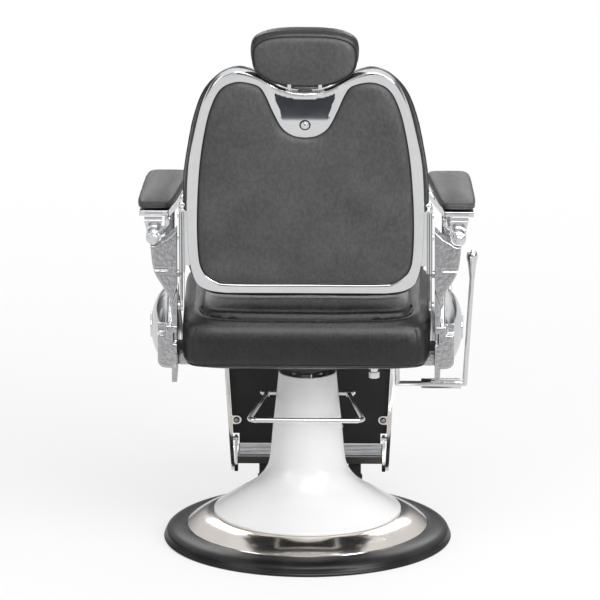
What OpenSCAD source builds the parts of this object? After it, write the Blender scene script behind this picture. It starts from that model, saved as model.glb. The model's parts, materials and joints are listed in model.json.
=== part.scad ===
// Hydraulic barber chair: round weighted base, pump column, swivelling seat, reclining back that
// lifts the leg rest through two side links, flip-down footrest and a sliding, tilting headrest.
// Millimetres.  The origin is on the floor under the column axis, +Z is up, the sitter faces -Y.
// "left" and "right" are the sitter's: left is +X, right is -X.

/* [Base] */
// Diameter of the rubber floor ring
base_d = 640; // [600:1:680]
// Width of the rubber ring outside the polished dish
ring_band = 52; // [40:1:62]
// Width of the polished dish outside the column cover's foot
dish_band = 60; // [46:1:72]
// Height of the column cover's top edge above the floor
cover_top = 386; // [370:1:396]
// Room between the pedal shaft's axis and the cover's top edge
cover_room = 14; // [12:1:18]
// Wall of the column cover
cover_wall = 3; // [2:0.5:5]
// Thickness of the cast base disc
disc_t = 11; // [8:1:16]

/* [Lift and pump] */
// Diameter of the lifting ram
ram_d = 48; // [40:1:50]
// Travel of the lifting ram
lift_travel = 160; // [120:5:180]
// Diameter of the pump pedal's rod
pedal_rod_d = 11; // [9:0.5:12]
// Length of the pump pedal's bar
pedal_bar = 256; // [220:1:280]
// Distance of the pedal bar behind the column axis
pedal_reach = 190; // [160:1:200]
// Diameter of the pedal shaft
pedal_shaft_d = 12; // [10:1:13]

/* [Seat] */
// Width of the seat cushion
seat_w = 540; // [500:1:542]
// Depth of the seat cushion
seat_depth = 488; // [460:1:500]
// Thickness of the seat cushion
seat_t = 123; // [100:1:125]
// Height of the seat board's top face above the column cover
seat_rise = 80; // [72:1:90]
// Thickness of the seat board
seat_board_t = 14; // [10:1:18]
// Room between the seat cushion and each side casting, where the side links run
side_gap = 15; // [14:0.5:20]
// Thickness of each side casting
side_t = 12; // [8:1:14]
// Radius of the round side covers
dome_r = 97; // [80:1:100]
// Bulge of the round side covers
dome_h = 50; // [35:1:55]

/* [Arms] */
// Height of the arm plates' top face above the seat cushion
arm_rise = 202; // [180:1:210]
// Length of the arm pads
arm_l = 280; // [250:1:290]
// Width of the arm pads at the rear
arm_w_rear = 78; // [70:1:84]
// Width of the arm pads at the front
arm_w_front = 100; // [88:1:104]
// Thickness of the arm pads
arm_t = 27; // [20:1:32]

/* [Back] */
// Lean of the back at rest, in degrees
back_lean = 13; // [8:1:16]
// Height of the back frame along its slope, measured to the top of the humps
back_h = 558; // [530:1:590]
// Width of the back frame
back_w = 524; // [500:1:526]
// Width of the bright rim
rim_w = 24; // [18:1:28]
// Thickness of the back cushion
back_t = 68; // [50:1:72]
// Diameter of the back's hinge pins
hinge_d = 16; // [12:1:18]
// Length of the back crank and of the leg crank
crank_l = 75; // [65:1:80]
// Height the headrest can be pulled up
head_travel = 100; // [60:5:110]
// Width of the headrest
head_w = 240; // [210:1:250]
// Height of the headrest
head_h = 138; // [120:1:150]
// Thickness of the headrest
head_t = 66; // [54:1:70]

/* [Leg rest] */
// Length of the leg board along its slope
leg_l = 310; // [280:1:320]
// Width of the leg board
leg_w = 376; // [340:1:380]
// Lean of the leg rest at rest, in degrees
leg_lean = 14.5; // [12:0.5:18]
// Thickness of the leg pad
leg_pad_t = 34; // [26:1:38]
// Room between the footrest's arms and the leg bars
foot_gap = 4.3; // [3:0.1:8]
// Depth of the foot tread
tread_d = 100; // [85:1:110]

/* [Hidden] */
$fn = 96;

// Radial play of shafts in their bores, and the gap kept between parts that pass each other
play = 0.05;
gap = 0.3;

// Base
base_r = base_d / 2;
dish_r = base_r - ring_band;
ring_h = 33;
dish_z = 62;
dish_wall = 2.5;
foot_r = dish_r - dish_band;
disc_r = dish_r - 10;
hub_z = 18;
base_bolt_r = 5;

// Pump column
ram_r = ram_d / 2;
bore_r = ram_r + 4;
cyl_r = bore_r + 6.5;
base_bolt_ring = cyl_r + 15.5;
hub_r = base_bolt_ring + 12;
cyl_top = cover_top - 20;
gland_t = 12;
piston_t = 12;
// The piston stays at least 110 mm below the gland when the chair is fully up
piston_z = cyl_top - 14 - piston_t - 110 - lift_travel;
collar_z = cover_top - 2;
collar_r = ram_r + 10;
spigot_r = ram_r - 4;
bearing_h = 4;
hub_bottom = collar_z + 4 + bearing_h;
hub_body_r = collar_r + 6;
hub_flange_z = cover_top + 24;
hub_top = hub_flange_z + 14;
hub_flange_t = 8;
hub_flange_r = 95;

// Pump pedal: shaft across the front of the cylinder, eccentric cam over the plunger
shaft_y = -cyl_r - 15.5;
shaft_z = cover_top - 67;
shaft_r = pedal_shaft_d / 2;
loop_x = 90;
cam_off = 5;
cam_r = shaft_r + 2.5;
plunger_r = 5;
plunger_y = shaft_y + cam_off;
pedal_z = shaft_z + 6;
pedal_r = pedal_rod_d / 2;
nut_x = loop_x + pedal_r + 1.4;
cover_top_r = cover_room - shaft_y;
pedal_bend = 16;
lug_x = 14;
lug_t = 7;

// Seat
seat_z = cover_top + seat_rise;
frame_z = seat_z - seat_board_t;
// The cushion's rear edge stays where it is, whatever its depth
seat_y = 238 - seat_depth / 2;
side_x = seat_w / 2 + side_gap;
rail_x = leg_w / 2 + 34;
rail_t = 10;
cross_rear_y = 75;
cross_front_y = -60;
cross_d = 30;

// Back hinge, leg axle and the side links between their cranks
hinge_y = 205;
hinge_z = seat_z + seat_t + 79;
axle_y = seat_y - seat_depth / 2 + 2;
axle_z = frame_z - 12;
axle_r = 10;
link_pin_r = 5;
link_w = 18;
crank_t = 5;
link_t = 5;
crank_x = side_x - crank_t - link_t - 2.5;
link_x = crank_x + crank_t + 1;

// Recline lever, on the sitter's right
lever_y = cross_front_y + 10;
lever_z = frame_z - 18;
lever_pin_r = 6;
lever_rod_r = 5.5;
lever_sleeve_r = 11.5;
lever_low = lever_z - 92;
lever_in_x = 23 - rail_x;
lever_out_x = -side_x - 64;
lever_knob_z = lever_z + 154;

// Sides and arms
dome_y = 90;
dome_z = seat_z + 50;
housing_y1 = hinge_y + hinge_d / 2 + 2;
housing_y0 = housing_y1 - 65;
post_z = seat_z + 82;
arm_z = seat_z + seat_t + arm_rise;
arm_plate_t = 12;
arm_rear_y = 141;
arm_front_y = arm_rear_y - arm_l;
arm_rear_x = side_x + 14;
arm_front_x = side_x - 27;
barrel_x = side_x + 52;
barrel_z = arm_z - 40;
barrel_r = 17;

// Back, in its own leaning frame: x across, y rearward from the rim's rear face, z up the slope
back_y = hinge_y + 25;
back_z = hinge_z - 39;
rim_t = 20;
board_t = 12;
frame_t = 14;
board_y = -6;
frame_y = board_y - board_t;
pad_y = frame_y - frame_t;
hinge_v = (hinge_y - back_y) * sin(back_lean) + (hinge_z - back_z) * cos(back_lean);
hinge_u = (hinge_y - back_y) * cos(back_lean) - (hinge_z - back_z) * sin(back_lean);
bar_top_v = 205;
bar_in = back_w / 2 + 4.5;
bar_out = crank_x + 8;
bar_u0 = -31.6;
bar_u1 = -10.5;
bar_bolt_v = [130, 185];
bar_bolt_r = 4;
flange_x = back_w / 2 - 22;
flange_v0 = 60;
flange_v1 = 197;
// Height of the dip between the humps, which carries the button and the headrest
dip_v = 504 * back_h / 558;
button_v = dip_v - 78;
button_r = 9.5;

// Headrest
post_w = 30;
post_t = 9;
post_y = frame_y - 3;
// 70 mm of the post stay in its guide when the headrest is fully up
post_low = button_v - 6 - head_travel;
guide_low = post_low - 20;
guide_top = button_v + 64;
guide_w = 46;
head_y = -24;
head_pin_v = dip_v + 13.5;
head_v = head_pin_v + 5.5 + head_h / 2;
head_pin_u = -14;
head_pin_r = 3;
head_lug_x = 30;
head_lug_t = 8;

// Leg rest and footrest
leg_top = 20;
leg_slant = 3;
leg_bar_l = leg_top + leg_l + 65;
// Foot pivot in the leg rest's own frame, then in the chair's
foot_u = 3;
foot_v = leg_top + leg_l - 12;
foot_pin_r = 5;
foot_y = axle_y + foot_u * cos(leg_lean) - foot_v * sin(leg_lean);
foot_z = axle_z - foot_u * sin(leg_lean) - foot_v * cos(leg_lean);
foot_arm_t = 6;
tread_w = leg_w + 2 - 2 * foot_v * tan(leg_slant) - 2 * foot_arm_t - 2 * foot_gap;
tread_ribs = 8;
tread_top = foot_z - 41.4;
tread_t = 16;
ear_v = foot_v - 50;

// ---------- helpers ----------

// Signed power, for the rounded profiles of the cushions
function spow(c, e) = (c < 0 ? -1 : 1) * pow(abs(c), e);

// Catmull-Rom spline through the points p; the last point is included
function spline(p, steps = 8) = concat(
    [for (i = [0 : len(p) - 2], k = [0 : steps - 1])
        let (t = k / steps,
             a = p[max(i - 1, 0)], b = p[i], c = p[i + 1], d = p[min(i + 2, len(p) - 1)])
        0.5 * (2 * b + (c - a) * t + (2 * a - 5 * b + 4 * c - d) * t * t
            + (3 * b - 3 * c + d - a) * t * t * t)],
    [p[len(p) - 1]]);

// Closed outline from its right half, which runs from the top middle to the bottom middle
function both_sides(half) = concat(half, [for (i = [len(half) - 2 : -1 : 1]) [-half[i][0], half[i][1]]]);

// Half of an outline whose widths and heights are scaled from a unit drawing
function scaled(p, kx, ky) = [for (q = p) [q[0] * kx, q[1] * ky]];

// Rounded rectangle as a superellipse, n points
function block_ring(hx, hy, e, n) = [for (i = [0 : n - 1])
    let (a = 360 * i / n) [hx * spow(cos(a), e), hy * spow(sin(a), e)]];

// Stuffed cushion: the outline is drawn in towards both faces along a superellipse section,
// and the upper face rises to a crown in the middle
module stuffed(outline, middle, half_t, e, rings, crown = 0) {
    n = len(outline);
    function ring(j) = let (a = -90 + 180 * (j + 1) / (rings + 1), s = spow(cos(a), e))
        [for (q = outline) [middle[0] + (q[0] - middle[0]) * s, middle[1] + (q[1] - middle[1]) * s,
            half_t * spow(sin(a), e) + (a > 0 ? crown * (1 - s * s) : 0)]];
    points = concat([for (j = [0 : rings - 1]) each ring(j)],
        [[middle[0], middle[1], -half_t], [middle[0], middle[1], half_t + crown]]);
    low = rings * n;
    high = low + 1;
    faces = concat(
        [for (j = [0 : rings - 2], i = [0 : n - 1]) [j * n + i, (j + 1) * n + i, j * n + (i + 1) % n]],
        [for (j = [0 : rings - 2], i = [0 : n - 1])
            [j * n + (i + 1) % n, (j + 1) * n + i, (j + 1) * n + (i + 1) % n]],
        [for (i = [0 : n - 1]) [low, i, (i + 1) % n]],
        [for (i = [0 : n - 1]) [high, (rings - 1) * n + (i + 1) % n, (rings - 1) * n + i]]);
    polyhedron(points, faces, convexity = 4);
}

// Box between two corners
module box(a, b) {
    translate(a) cube(b - a);
}

// Round bar between two points
module bar(a, b, r) {
    d = b - a;
    translate(a)
        rotate([0, acos(d[2] / norm(d)), atan2(d[1], d[0])])
            cylinder(r = r, h = norm(d));
}

// Round bar along X
module bar_x(x0, x1, y, z, r) {
    translate([x0, y, z]) rotate([0, 90, 0]) cylinder(r = r, h = x1 - x0);
}

// Plate across X from x0 to x1 whose outline is drawn in (y, z)
module plate_x(x0, x1) {
    translate([x0, 0, 0]) rotate([90, 0, 90]) linear_extrude(x1 - x0) children();
}

// Plate across Y from y0 to y1 whose outline is drawn in (x, z)
module plate_y(y0, y1) {
    translate([0, y1, 0]) rotate([90, 0, 0]) linear_extrude(y1 - y0) children();
}

// The sitter's right side is the mirror image of the left
module right() {
    mirror([1, 0, 0]) children();
}

// Frame of the leaning back
module in_back() {
    translate([0, back_y, back_z]) rotate([-back_lean, 0, 0]) children();
}

// Frame of the hanging leg rest: origin on the axle, z up the slope, y rearward
module in_leg() {
    translate([0, axle_y, axle_z]) rotate([-leg_lean, 0, 0]) children();
}

// ---------- base ----------

module floor_ring() {
    color("#2b2c2e")
        rotate_extrude()
            polygon(concat(
                [[disc_r + gap, 0], [base_r - 4, 0], [base_r, 4], [base_r, 9], [base_r - 3, 12]],
                [for (a = [0 : 10 : 90])
                    [dish_r + gap + (base_r - dish_r - 5) * cos(a), 13 + (ring_h - 13) * sin(a)]],
                [[dish_r + gap, ring_h - dish_wall], [disc_r + gap, ring_h - dish_wall]]));
}

module base_disc() {
    color("#3a3b3d")
        difference() {
            rotate_extrude()
                polygon([[0, 0], [disc_r, 0], [disc_r, ring_h - 6], [disc_r - 14, ring_h - 6],
                    [disc_r - 20, disc_t], [foot_r - 4, disc_t], [foot_r - 4, dish_z - dish_wall],
                    [foot_r - 18, dish_z - dish_wall], [foot_r - 22, disc_t], [hub_r + 12, disc_t],
                    [hub_r, hub_z], [0, hub_z]]);
            for (a = [45 : 90 : 315])
                rotate(a) translate([base_bolt_ring, 0, 3]) cylinder(r = base_bolt_r + 0.1, h = hub_z);
        }
}

module base_dish() {
    color("#c9c6c1")
        rotate_extrude()
            polygon(concat(
                [[foot_r - 18, dish_z - dish_wall], [foot_r - 2, dish_z - dish_wall]],
                [for (t = [0.1 : 0.1 : 1]) let (r = foot_r - 2 + (dish_r - foot_r + 2) * t)
                    [r - 1.4, dish_z - dish_wall - (dish_z - ring_h) * pow(t, 1.7) + 0.4]],
                [for (t = [1 : -0.1 : 0]) let (r = foot_r - 2 + (dish_r - foot_r + 2) * t)
                    [r, dish_z - (dish_z - ring_h - 1) * pow(t, 1.7)]],
                [[foot_r - 18, dish_z]]));
}

// Outer profile of the column cover from its foot to its top, as radius and height: each step gives
// the share of the way from the top radius out to the foot radius, then the height
cover_line = spline([for (q = [[0.944, dish_z + 11], [0.701, dish_z + 34], [0.493, dish_z + 53],
    [0.354, dish_z + 68], [0.25, dish_z + 85], [0.194, dish_z + 98], [0.153, dish_z + 113],
    [0.125, dish_z + 138], [0.09, cover_top - 127], [0.0417, cover_top - 61], [0, cover_top]])
    [cover_top_r + (foot_r - cover_top_r) * q[0], q[1]]], 4);

module column_cover() {
    inner = [for (i = [len(cover_line) - 1 : -1 : 0]) cover_line[i] - [cover_wall, 0]];
    color("#f4f4f2")
        difference() {
            rotate_extrude()
                polygon(concat([[foot_r - 16, dish_z], [foot_r, dish_z], [foot_r, dish_z + 6]],
                    cover_line, inner, [[foot_r - 16, dish_z + 8]]));
            bar_x(-foot_r, foot_r, shaft_y, shaft_z, shaft_r + 4);
        }
}

module pump_cylinder() {
    color("#8d9094")
        difference() {
            union() {
                translate([0, 0, hub_z]) cylinder(r = hub_r, h = 10);
                translate([0, 0, hub_z]) cylinder(r = cyl_r, h = cyl_top - hub_z);
                box([-lug_x - lug_t, shaft_y - 8, shaft_z - 69], [lug_x + lug_t, -bore_r - 2, shaft_z - 23]);
                for (x = [-lug_x - lug_t, lug_x]) {
                    box([x, shaft_y - 8, shaft_z - 24], [x + lug_t, -bore_r + 4, shaft_z]);
                    bar_x(x, x + lug_t, shaft_y, shaft_z, shaft_r + 3);
                }
            }
            translate([0, 0, hub_z + 12]) cylinder(r = bore_r, h = cyl_top);
            translate([0, plunger_y, shaft_z - 62]) cylinder(r = plunger_r + play, h = 60);
            bar_x(-lug_x - lug_t - 1, lug_x + lug_t + 1, shaft_y, shaft_z, shaft_r + play);
            for (a = [45 : 90 : 315])
                rotate(a) translate([base_bolt_ring, 0, 0]) cylinder(r = base_bolt_r + 0.1, h = cyl_top);
        }
}

module cylinder_gland() {
    color("#5c5f63")
        difference() {
            union() {
                translate([0, 0, cyl_top]) cylinder(r = cyl_r, h = gland_t);
                translate([0, 0, cyl_top - 14]) cylinder(r = bore_r - play, h = 15);
            }
            translate([0, 0, cyl_top - 15]) cylinder(r = ram_r + play, h = gland_t + 20);
        }
}

module base_bolts() {
    color("#6f7276")
        for (a = [45 : 90 : 315])
            rotate(a) translate([base_bolt_ring, 0, 0]) {
                translate([0, 0, 4]) cylinder(r = base_bolt_r, h = hub_z + 8);
                translate([0, 0, hub_z + 10]) cylinder(r = 9, h = 6.5, $fn = 6);
            }
}

module pump_plunger() {
    color("#a9acb0")
        translate([0, plunger_y, 0]) {
            translate([0, 0, shaft_z - 50]) cylinder(r = plunger_r, h = 40);
            translate([0, 0, shaft_z - cam_r - gap - 5]) cylinder(r = 7, h = 5);
        }
}

// ---------- pump pedal ----------

module pedal_shaft() {
    color("#d5d7da") {
        bar_x(-nut_x, nut_x, shaft_y, shaft_z, shaft_r);
        bar_x(-9, 9, plunger_y, shaft_z, cam_r);
    }
}

module pedal_loop() {
    // One bent rod: two side rods that spread towards the bar, joined to it by round bends
    rear_x = pedal_bar / 2;
    run = pedal_reach - shaft_y;
    lean = atan((rear_x - loop_x) / run);
    turn = 90 + lean;
    stop = pedal_bend * tan(turn / 2);
    start = [rear_x - stop * sin(lean), run - stop * cos(lean)];
    centre = start + pedal_bend * [-cos(lean), sin(lean)];
    color("#d5d7da")
        difference() {
            translate([0, shaft_y, shaft_z])
                rotate([atan((pedal_z - shaft_z) / run), 0, 0]) {
                    for (s = [0, 1])
                        mirror([s, 0, 0]) {
                            bar([loop_x, 0, 0],
                                [start[0] + 0.6 * sin(lean), start[1] + 0.6 * cos(lean), 0], pedal_r);
                            translate([centre[0], centre[1], 0])
                                rotate(-lean)
                                    rotate_extrude(angle = turn)
                                        translate([pedal_bend, 0]) circle(r = pedal_r + 0.15);
                            bar_x(loop_x - pedal_r + 0.5, loop_x + pedal_r - 0.5, 0, 0, shaft_r + 3.5);
                        }
                    bar_x(-centre[0] - 0.6, centre[0] + 0.6, run, 0, pedal_r);
                }
            bar_x(-nut_x, nut_x, shaft_y, shaft_z, shaft_r + play);
        }
}

module pedal_nuts() {
    color("#d5d7da")
        for (s = [-1, 1]) {
            bar_x(s * (nut_x + 2.5) - 2.5, s * (nut_x + 2.5) + 2.5, shaft_y, shaft_z, shaft_r + 1.5);
            translate([s * (nut_x + 5), shaft_y, shaft_z]) sphere(r = 4.5);
        }
}

// ---------- ram ----------

module ram_rod() {
    color("#c4c7ca") {
        translate([0, 0, piston_z + piston_t]) cylinder(r = ram_r, h = collar_z - piston_z - piston_t);
        translate([0, 0, piston_z + 4]) cylinder(r = 12, h = 9);
        translate([0, 0, collar_z]) cylinder(r = collar_r, h = 4);
        translate([0, 0, collar_z + 3]) cylinder(r = spigot_r, h = hub_top - collar_z - 5);
    }
}

module ram_piston() {
    color("#7d8084")
        difference() {
            translate([0, 0, piston_z]) cylinder(r = bore_r - play, h = piston_t);
            translate([0, 0, piston_z + 4]) cylinder(r = 12, h = piston_t);
            for (z = [3.5, 7.5])
                translate([0, 0, piston_z + z])
                    rotate_extrude() translate([bore_r - 1.2, 0]) square([2, 1.6]);
        }
}

module swivel_bearing() {
    color("#9a9da1")
        difference() {
            translate([0, 0, collar_z + 4]) cylinder(r = collar_r, h = bearing_h);
            translate([0, 0, collar_z + 3]) cylinder(r = spigot_r + play, h = bearing_h + 2);
        }
}

// ---------- seat ----------

module swivel_hub() {
    color("#4a4d50")
        difference() {
            union() {
                translate([0, 0, hub_bottom]) cylinder(r = hub_body_r, h = hub_top - hub_bottom);
                translate([0, 0, hub_flange_z]) cylinder(r = hub_flange_r, h = hub_flange_t);
            }
            translate([0, 0, hub_bottom - 1]) cylinder(r = spigot_r + play, h = 40);
            for (a = [45 : 90 : 315])
                rotate(a) translate([75, 0, hub_flange_z - 1]) cylinder(r = 4.1, h = 20);
        }
}

module hub_bolts() {
    color("#6f7276")
        for (a = [45 : 90 : 315])
            rotate(a) translate([75, 0, 0]) {
                translate([0, 0, hub_flange_z - 5]) cylinder(r = 7.5, h = 5, $fn = 6);
                translate([0, 0, hub_flange_z - 1]) cylinder(r = 4, h = 16);
            }
}

module seat_frame() {
    plate_z = hub_flange_z + hub_flange_t;
    rail_low = frame_z - 27;
    color("#26282a")
        difference() {
            union() {
                box([-rail_x - 1, cross_front_y, plate_z], [rail_x + 1, cross_rear_y + 1, plate_z + 6]);
                for (s = [-1, 1])
                    box([s > 0 ? rail_x : -rail_x - rail_t, axle_y - 14, rail_low],
                        [s > 0 ? rail_x + rail_t : -rail_x, cross_rear_y + cross_d, frame_z]);
                box([-side_x, cross_rear_y, frame_z - 22], [side_x, cross_rear_y + cross_d, frame_z]);
                box([-side_x, cross_front_y, plate_z], [side_x, cross_front_y + cross_d, plate_z + 20]);
                for (s = [-1, 1])
                    box([s * 90 - 5, cross_front_y + 2, plate_z + 5],
                        [s * 90 + 5, cross_rear_y + 2, frame_z]);
            }
            translate([0, 0, plate_z - 1]) cylinder(r = hub_body_r + 1, h = 40);
            bar_x(-side_x, side_x, axle_y, axle_z, axle_r + play);
            bar_x(-side_x, -rail_x + 1, lever_y, lever_z, lever_pin_r + play);
            // Notch for the recline lever's inner rod
            box([-rail_x, lever_y - 13, plate_z - 1], [lever_in_x + 13, lever_y + 13, frame_z + 1]);
            for (a = [45 : 90 : 315])
                rotate(a) translate([75, 0, plate_z - 1]) cylinder(r = 4.1, h = 20);
        }
}

module seat_board() {
    color("#b08a5e")
        box([-seat_w / 2 + 12, seat_y - seat_depth / 2 + 16, seat_z - seat_board_t],
            [seat_w / 2 - 12, 195, seat_z]);
}

module seat_cushion() {
    half = (seat_t - gap) / 2 - 4;
    color("#3d3d40")
        translate([0, seat_y, seat_z + gap + half])
            stuffed(block_ring(seat_w / 2, seat_depth / 2, 0.24, 48), [0, 0], half, 0.34, 20, 8);
}

module recline_lock() {
    // Valve block behind the rear cross tube, with its hexagon adjuster hanging below
    x = -150;
    y = cross_rear_y + cross_d;
    color("#cfd1d4") {
        box([x - 12, y, frame_z - 20], [x + 12, y + 44, frame_z - 6]);
        translate([x, y + 30, frame_z - 34]) cylinder(r = 8, h = 24);
        translate([x, y + 30, frame_z - 43]) cylinder(r = 12, h = 14, $fn = 6);
    }
}

// ---------- sides and arms, drawn for the left ----------

module side_casting() {
    low = frame_z + 24;
    top = arm_z - arm_plate_t;
    front = spline([[cross_front_y - 12, low], [-76, low + 69], [-100, low + 164], [-124, top - 30],
        [-128, top]], 6);
    rear = spline([[-84, top], [-80, top - 30], [-58, low + 164], [-24, low + 69], [-14, low]], 6);
    color("#cfd1d4") {
        // Front post that sweeps up to the arm plate
        plate_x(side_x + side_t, side_x + side_t + 22) polygon(concat(front, rear));
        difference() {
            plate_x(side_x, side_x + side_t)
                union() {
                    translate([dome_y, dome_z]) circle(r = dome_r - 4);
                    translate([cross_front_y - 10, frame_z - 34])
                        square([housing_y1 - cross_front_y + 6, 60]);
                    translate([cross_front_y - 10, frame_z - 34]) square([120, 122]);
                }
            bar_x(side_x - 1, side_x + 40, dome_y, dome_z, 8.1);
        }
        difference() {
            plate_y(housing_y0, housing_y1)
                union() {
                    translate([side_x, frame_z + 17]) square([43, post_z - frame_z - 17]);
                    translate([side_x + 17, frame_z + 17]) circle(r = 17);
                    translate([side_x + 26, frame_z + 17]) circle(r = 17);
                    translate([side_x + 17, frame_z]) square([9, 18]);
                }
            bar_x(side_x + side_t, side_x + 80, dome_y, dome_z, dome_r + gap);
            box([side_x - 1, housing_y0 + 40, post_z - 42], [side_x + 9, housing_y1 + 1, post_z - 14]);
            box([side_x + 26, housing_y0 + 40, post_z - 20], [side_x + 60, housing_y1 + 1, post_z + 1]);
        }
    }
}

module side_dome() {
    // The cap is a hollow bowl with a raised rim and a stepped boss
    wall = 3;
    bowl = [for (a = [12 : 6 : 66])
        [(dome_r - 8) * cos(a) / cos(12), 8 + (dome_h - 14) * (sin(a) - sin(12)) / 0.706]];
    color("#d9dbde")
        translate([side_x + side_t, dome_y, dome_z])
            rotate([0, 90, 0])
                difference() {
                    rotate_extrude()
                        polygon(concat([[0, 0], [dome_r, 0], [dome_r, 6], [dome_r - 3, 9], [dome_r - 7, 9]],
                            bowl, [[28, dome_h - 3], [26, dome_h], [0, dome_h]]));
                    rotate_extrude()
                        polygon(concat([[0, -1], [dome_r - 10, -1], [dome_r - 10, 2]],
                            [for (q = bowl) q - [wall, wall]], [[0, bowl[9][1] - wall]]));
                }
}

module arm_bracket() {
    // Slim post from the hinge housing that fans out into the arm's rear bracket
    x = side_x;
    rim = spline([[x + 59, barrel_z - 16], [x + 42, barrel_z - 11], [x + 21, barrel_z - 1],
        [x, barrel_z + 20]], 6);
    edge = spline([[x + 14, hinge_z - 68], [x + 20, hinge_z - 46], [x + 34, hinge_z - 23],
        [x + 52, hinge_z + 12], [x + 59, barrel_z - 16]], 6);
    color("#c3c5c8")
        difference() {
            union() {
                plate_y(hinge_y - hinge_d / 2 - 4, housing_y1)
                    polygon([[x, post_z], [x + 12, post_z], [x + 14, hinge_z - 68], [x + 16, hinge_z - 28],
                        [x, hinge_z - 28]]);
                plate_y(housing_y1 - 38, housing_y1 + 8)
                    polygon(concat([[x, hinge_z - 28], [x + 12, hinge_z - 68]], edge, rim));
            }
            bar_x(x - 1, x + 18, hinge_y, hinge_z, hinge_d / 2 + play);
            translate([barrel_x, 0, barrel_z]) rotate([-90, 0, 0]) cylinder(r = barrel_r + gap, h = 400);
            box([x + 18, housing_y1 + 4, hinge_z + 10], [x + 80, housing_y1 + 20, hinge_z + 15]);
        }
}

module arm_knuckle() {
    top = arm_z - arm_plate_t;
    y0 = housing_y1 - 75;
    y1 = housing_y1 - 2;
    color("#d9dbde") {
        // Barrel with its stepped end, seen from behind
        translate([barrel_x, y0, barrel_z]) rotate([-90, 0, 0]) {
            cylinder(r = barrel_r, h = y1 - y0);
            cylinder(r = barrel_r - 4, h = y1 - y0 + 5);
            cylinder(r = 8, h = y1 - y0 + 11);
        }
        // Neck and head block under the arm plate
        plate_y(y0, y0 + 34)
            polygon([[barrel_x - 14, barrel_z], [barrel_x + 15, barrel_z], [barrel_x + 22, top],
                [barrel_x - 18, top]]);
        // Inner finger that carries the plate's inner edge
        plate_y(y0 + 4, y0 + 26)
            polygon(concat([[barrel_x - 12, barrel_z - 8]],
                spline([[barrel_x - 20, barrel_z - 6], [barrel_x - 30, barrel_z + 4],
                    [barrel_x - 35, top - 10], [barrel_x - 36, top]], 5),
                [[barrel_x - 26, top], [barrel_x - 24, barrel_z + 10], [barrel_x - 12, barrel_z + 6]]));
    }
}

// Outline of the arm: the pad widens and leans inward towards the front
function arm_outline(inset) = [
    [arm_rear_x + inset, arm_rear_y - inset], [arm_front_x + inset, arm_front_y + inset],
    [arm_front_x + arm_w_front - inset, arm_front_y + inset],
    [arm_rear_x + arm_w_rear - inset, arm_rear_y - inset]];

module arm_plate() {
    color("#d9dbde") {
        translate([0, 0, arm_z - arm_plate_t]) linear_extrude(arm_plate_t) polygon(arm_outline(6));
        // Apron along the inner edge
        translate([0, 0, arm_z - arm_plate_t - 14])
            linear_extrude(15)
                polygon([arm_outline(6)[0] - [0, 38], arm_outline(6)[1] + [0, 50],
                    arm_outline(6)[1] + [8, 50], arm_outline(6)[0] + [8, -38]]);
    }
}

module arm_pad() {
    q = arm_outline(0);
    // Superellipse corners stretched over the slanted outline
    ring = [for (i = [0 : 31])
        let (a = 360 * i / 32, u = (1 + spow(cos(a), 0.3)) / 2, v = (1 + spow(sin(a), 0.3)) / 2)
        (q[1] * (1 - u) + q[2] * u) * (1 - v) + (q[0] * (1 - u) + q[3] * u) * v];
    half = (arm_t - gap) / 2 - 2;
    color("#4a4a4d")
        translate([0, 0, arm_z + gap + half])
            stuffed(ring, (q[0] + q[1] + q[2] + q[3]) / 4, half, 0.4, 10, 4);
}

module hinge_pins() {
    color("#b9bcc0")
        for (s = [-1, 1])
            bar_x(s > 0 ? crank_x : -side_x - 16, s > 0 ? side_x + 16 : -crank_x, hinge_y, hinge_z,
                hinge_d / 2);
}

// ---------- recline lever, on the sitter's right ----------

module lever_arm() {
    color("#d5d7da") {
        bar_x(-rail_x - rail_t - 6, lever_in_x + 9, lever_y, lever_z, lever_pin_r);
        bar([lever_in_x, lever_y, lever_z], [lever_in_x, lever_y, lever_low], lever_rod_r);
        translate([lever_in_x, lever_y, lever_low]) sphere(r = lever_rod_r + 0.2);
        bar_x(lever_out_x, lever_in_x, lever_y, lever_low, lever_rod_r);
        translate([lever_out_x, lever_y, lever_low]) sphere(r = lever_rod_r + 0.2);
        bar([lever_out_x, lever_y, lever_low], [lever_out_x - 16, lever_y, lever_knob_z], lever_rod_r);
    }
}

module lever_sleeve() {
    color("#c3c5c8")
        difference() {
            bar_x(lever_out_x + 8, lever_out_x + 97, lever_y, lever_low, lever_sleeve_r);
            bar_x(lever_out_x, lever_out_x + 110, lever_y, lever_low, lever_rod_r + play);
        }
}

module lever_knob() {
    // Pear-shaped grip on the upright's end
    color("#d9dbde")
        translate([lever_out_x - 16, lever_y, lever_knob_z + 0.4])
            rotate_extrude()
                polygon(concat([[0, 0]],
                    spline([[6.5, 0], [7.5, 18], [10, 34], [12.5, 46], [12, 54], [8, 60], [0, 62]], 5)));
}

// ---------- back ----------

// Right half of the rim's outer outline, from the dip between the humps down to the bottom
rim_half = scaled([[0, 504], [30, 507], [60, 517], [102, 544], [145, 558], [174, 551], [197, 533],
    [214, 503], [229, 462], [244, 395], [258, 310], [262, 200], [258, 95], [245, 32], [222, 9],
    [185, 1], [150, 0], [0, 0]], back_w / 524, back_h / 558);

// Right half of the rear panel's outline
panel_half = scaled([[0, 392], [27, 397], [52, 417], [72, 458], [88, 498], [104, 521], [140, 531],
    [166, 526], [186, 511], [202, 480], [217, 425], [231, 330], [238, 210], [237, 110], [228, 58],
    [200, 30], [160, 23], [0, 23]], (back_w - 2 * rim_w) / 476, back_h / 558);

// Right half of the back cushion's outline
cushion_half = scaled([[0, 480], [60, 495], [104, 524], [145, 538], [180, 528], [212, 498], [230, 466],
    [244, 420], [254, 372], [268, 275], [270, 200], [267, 95], [256, 20], [225, -28], [160, -38],
    [0, -38]], back_w / 524, back_h / 558);

module rim_outline() {
    polygon(both_sides(spline(rim_half, 5)));
}

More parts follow.
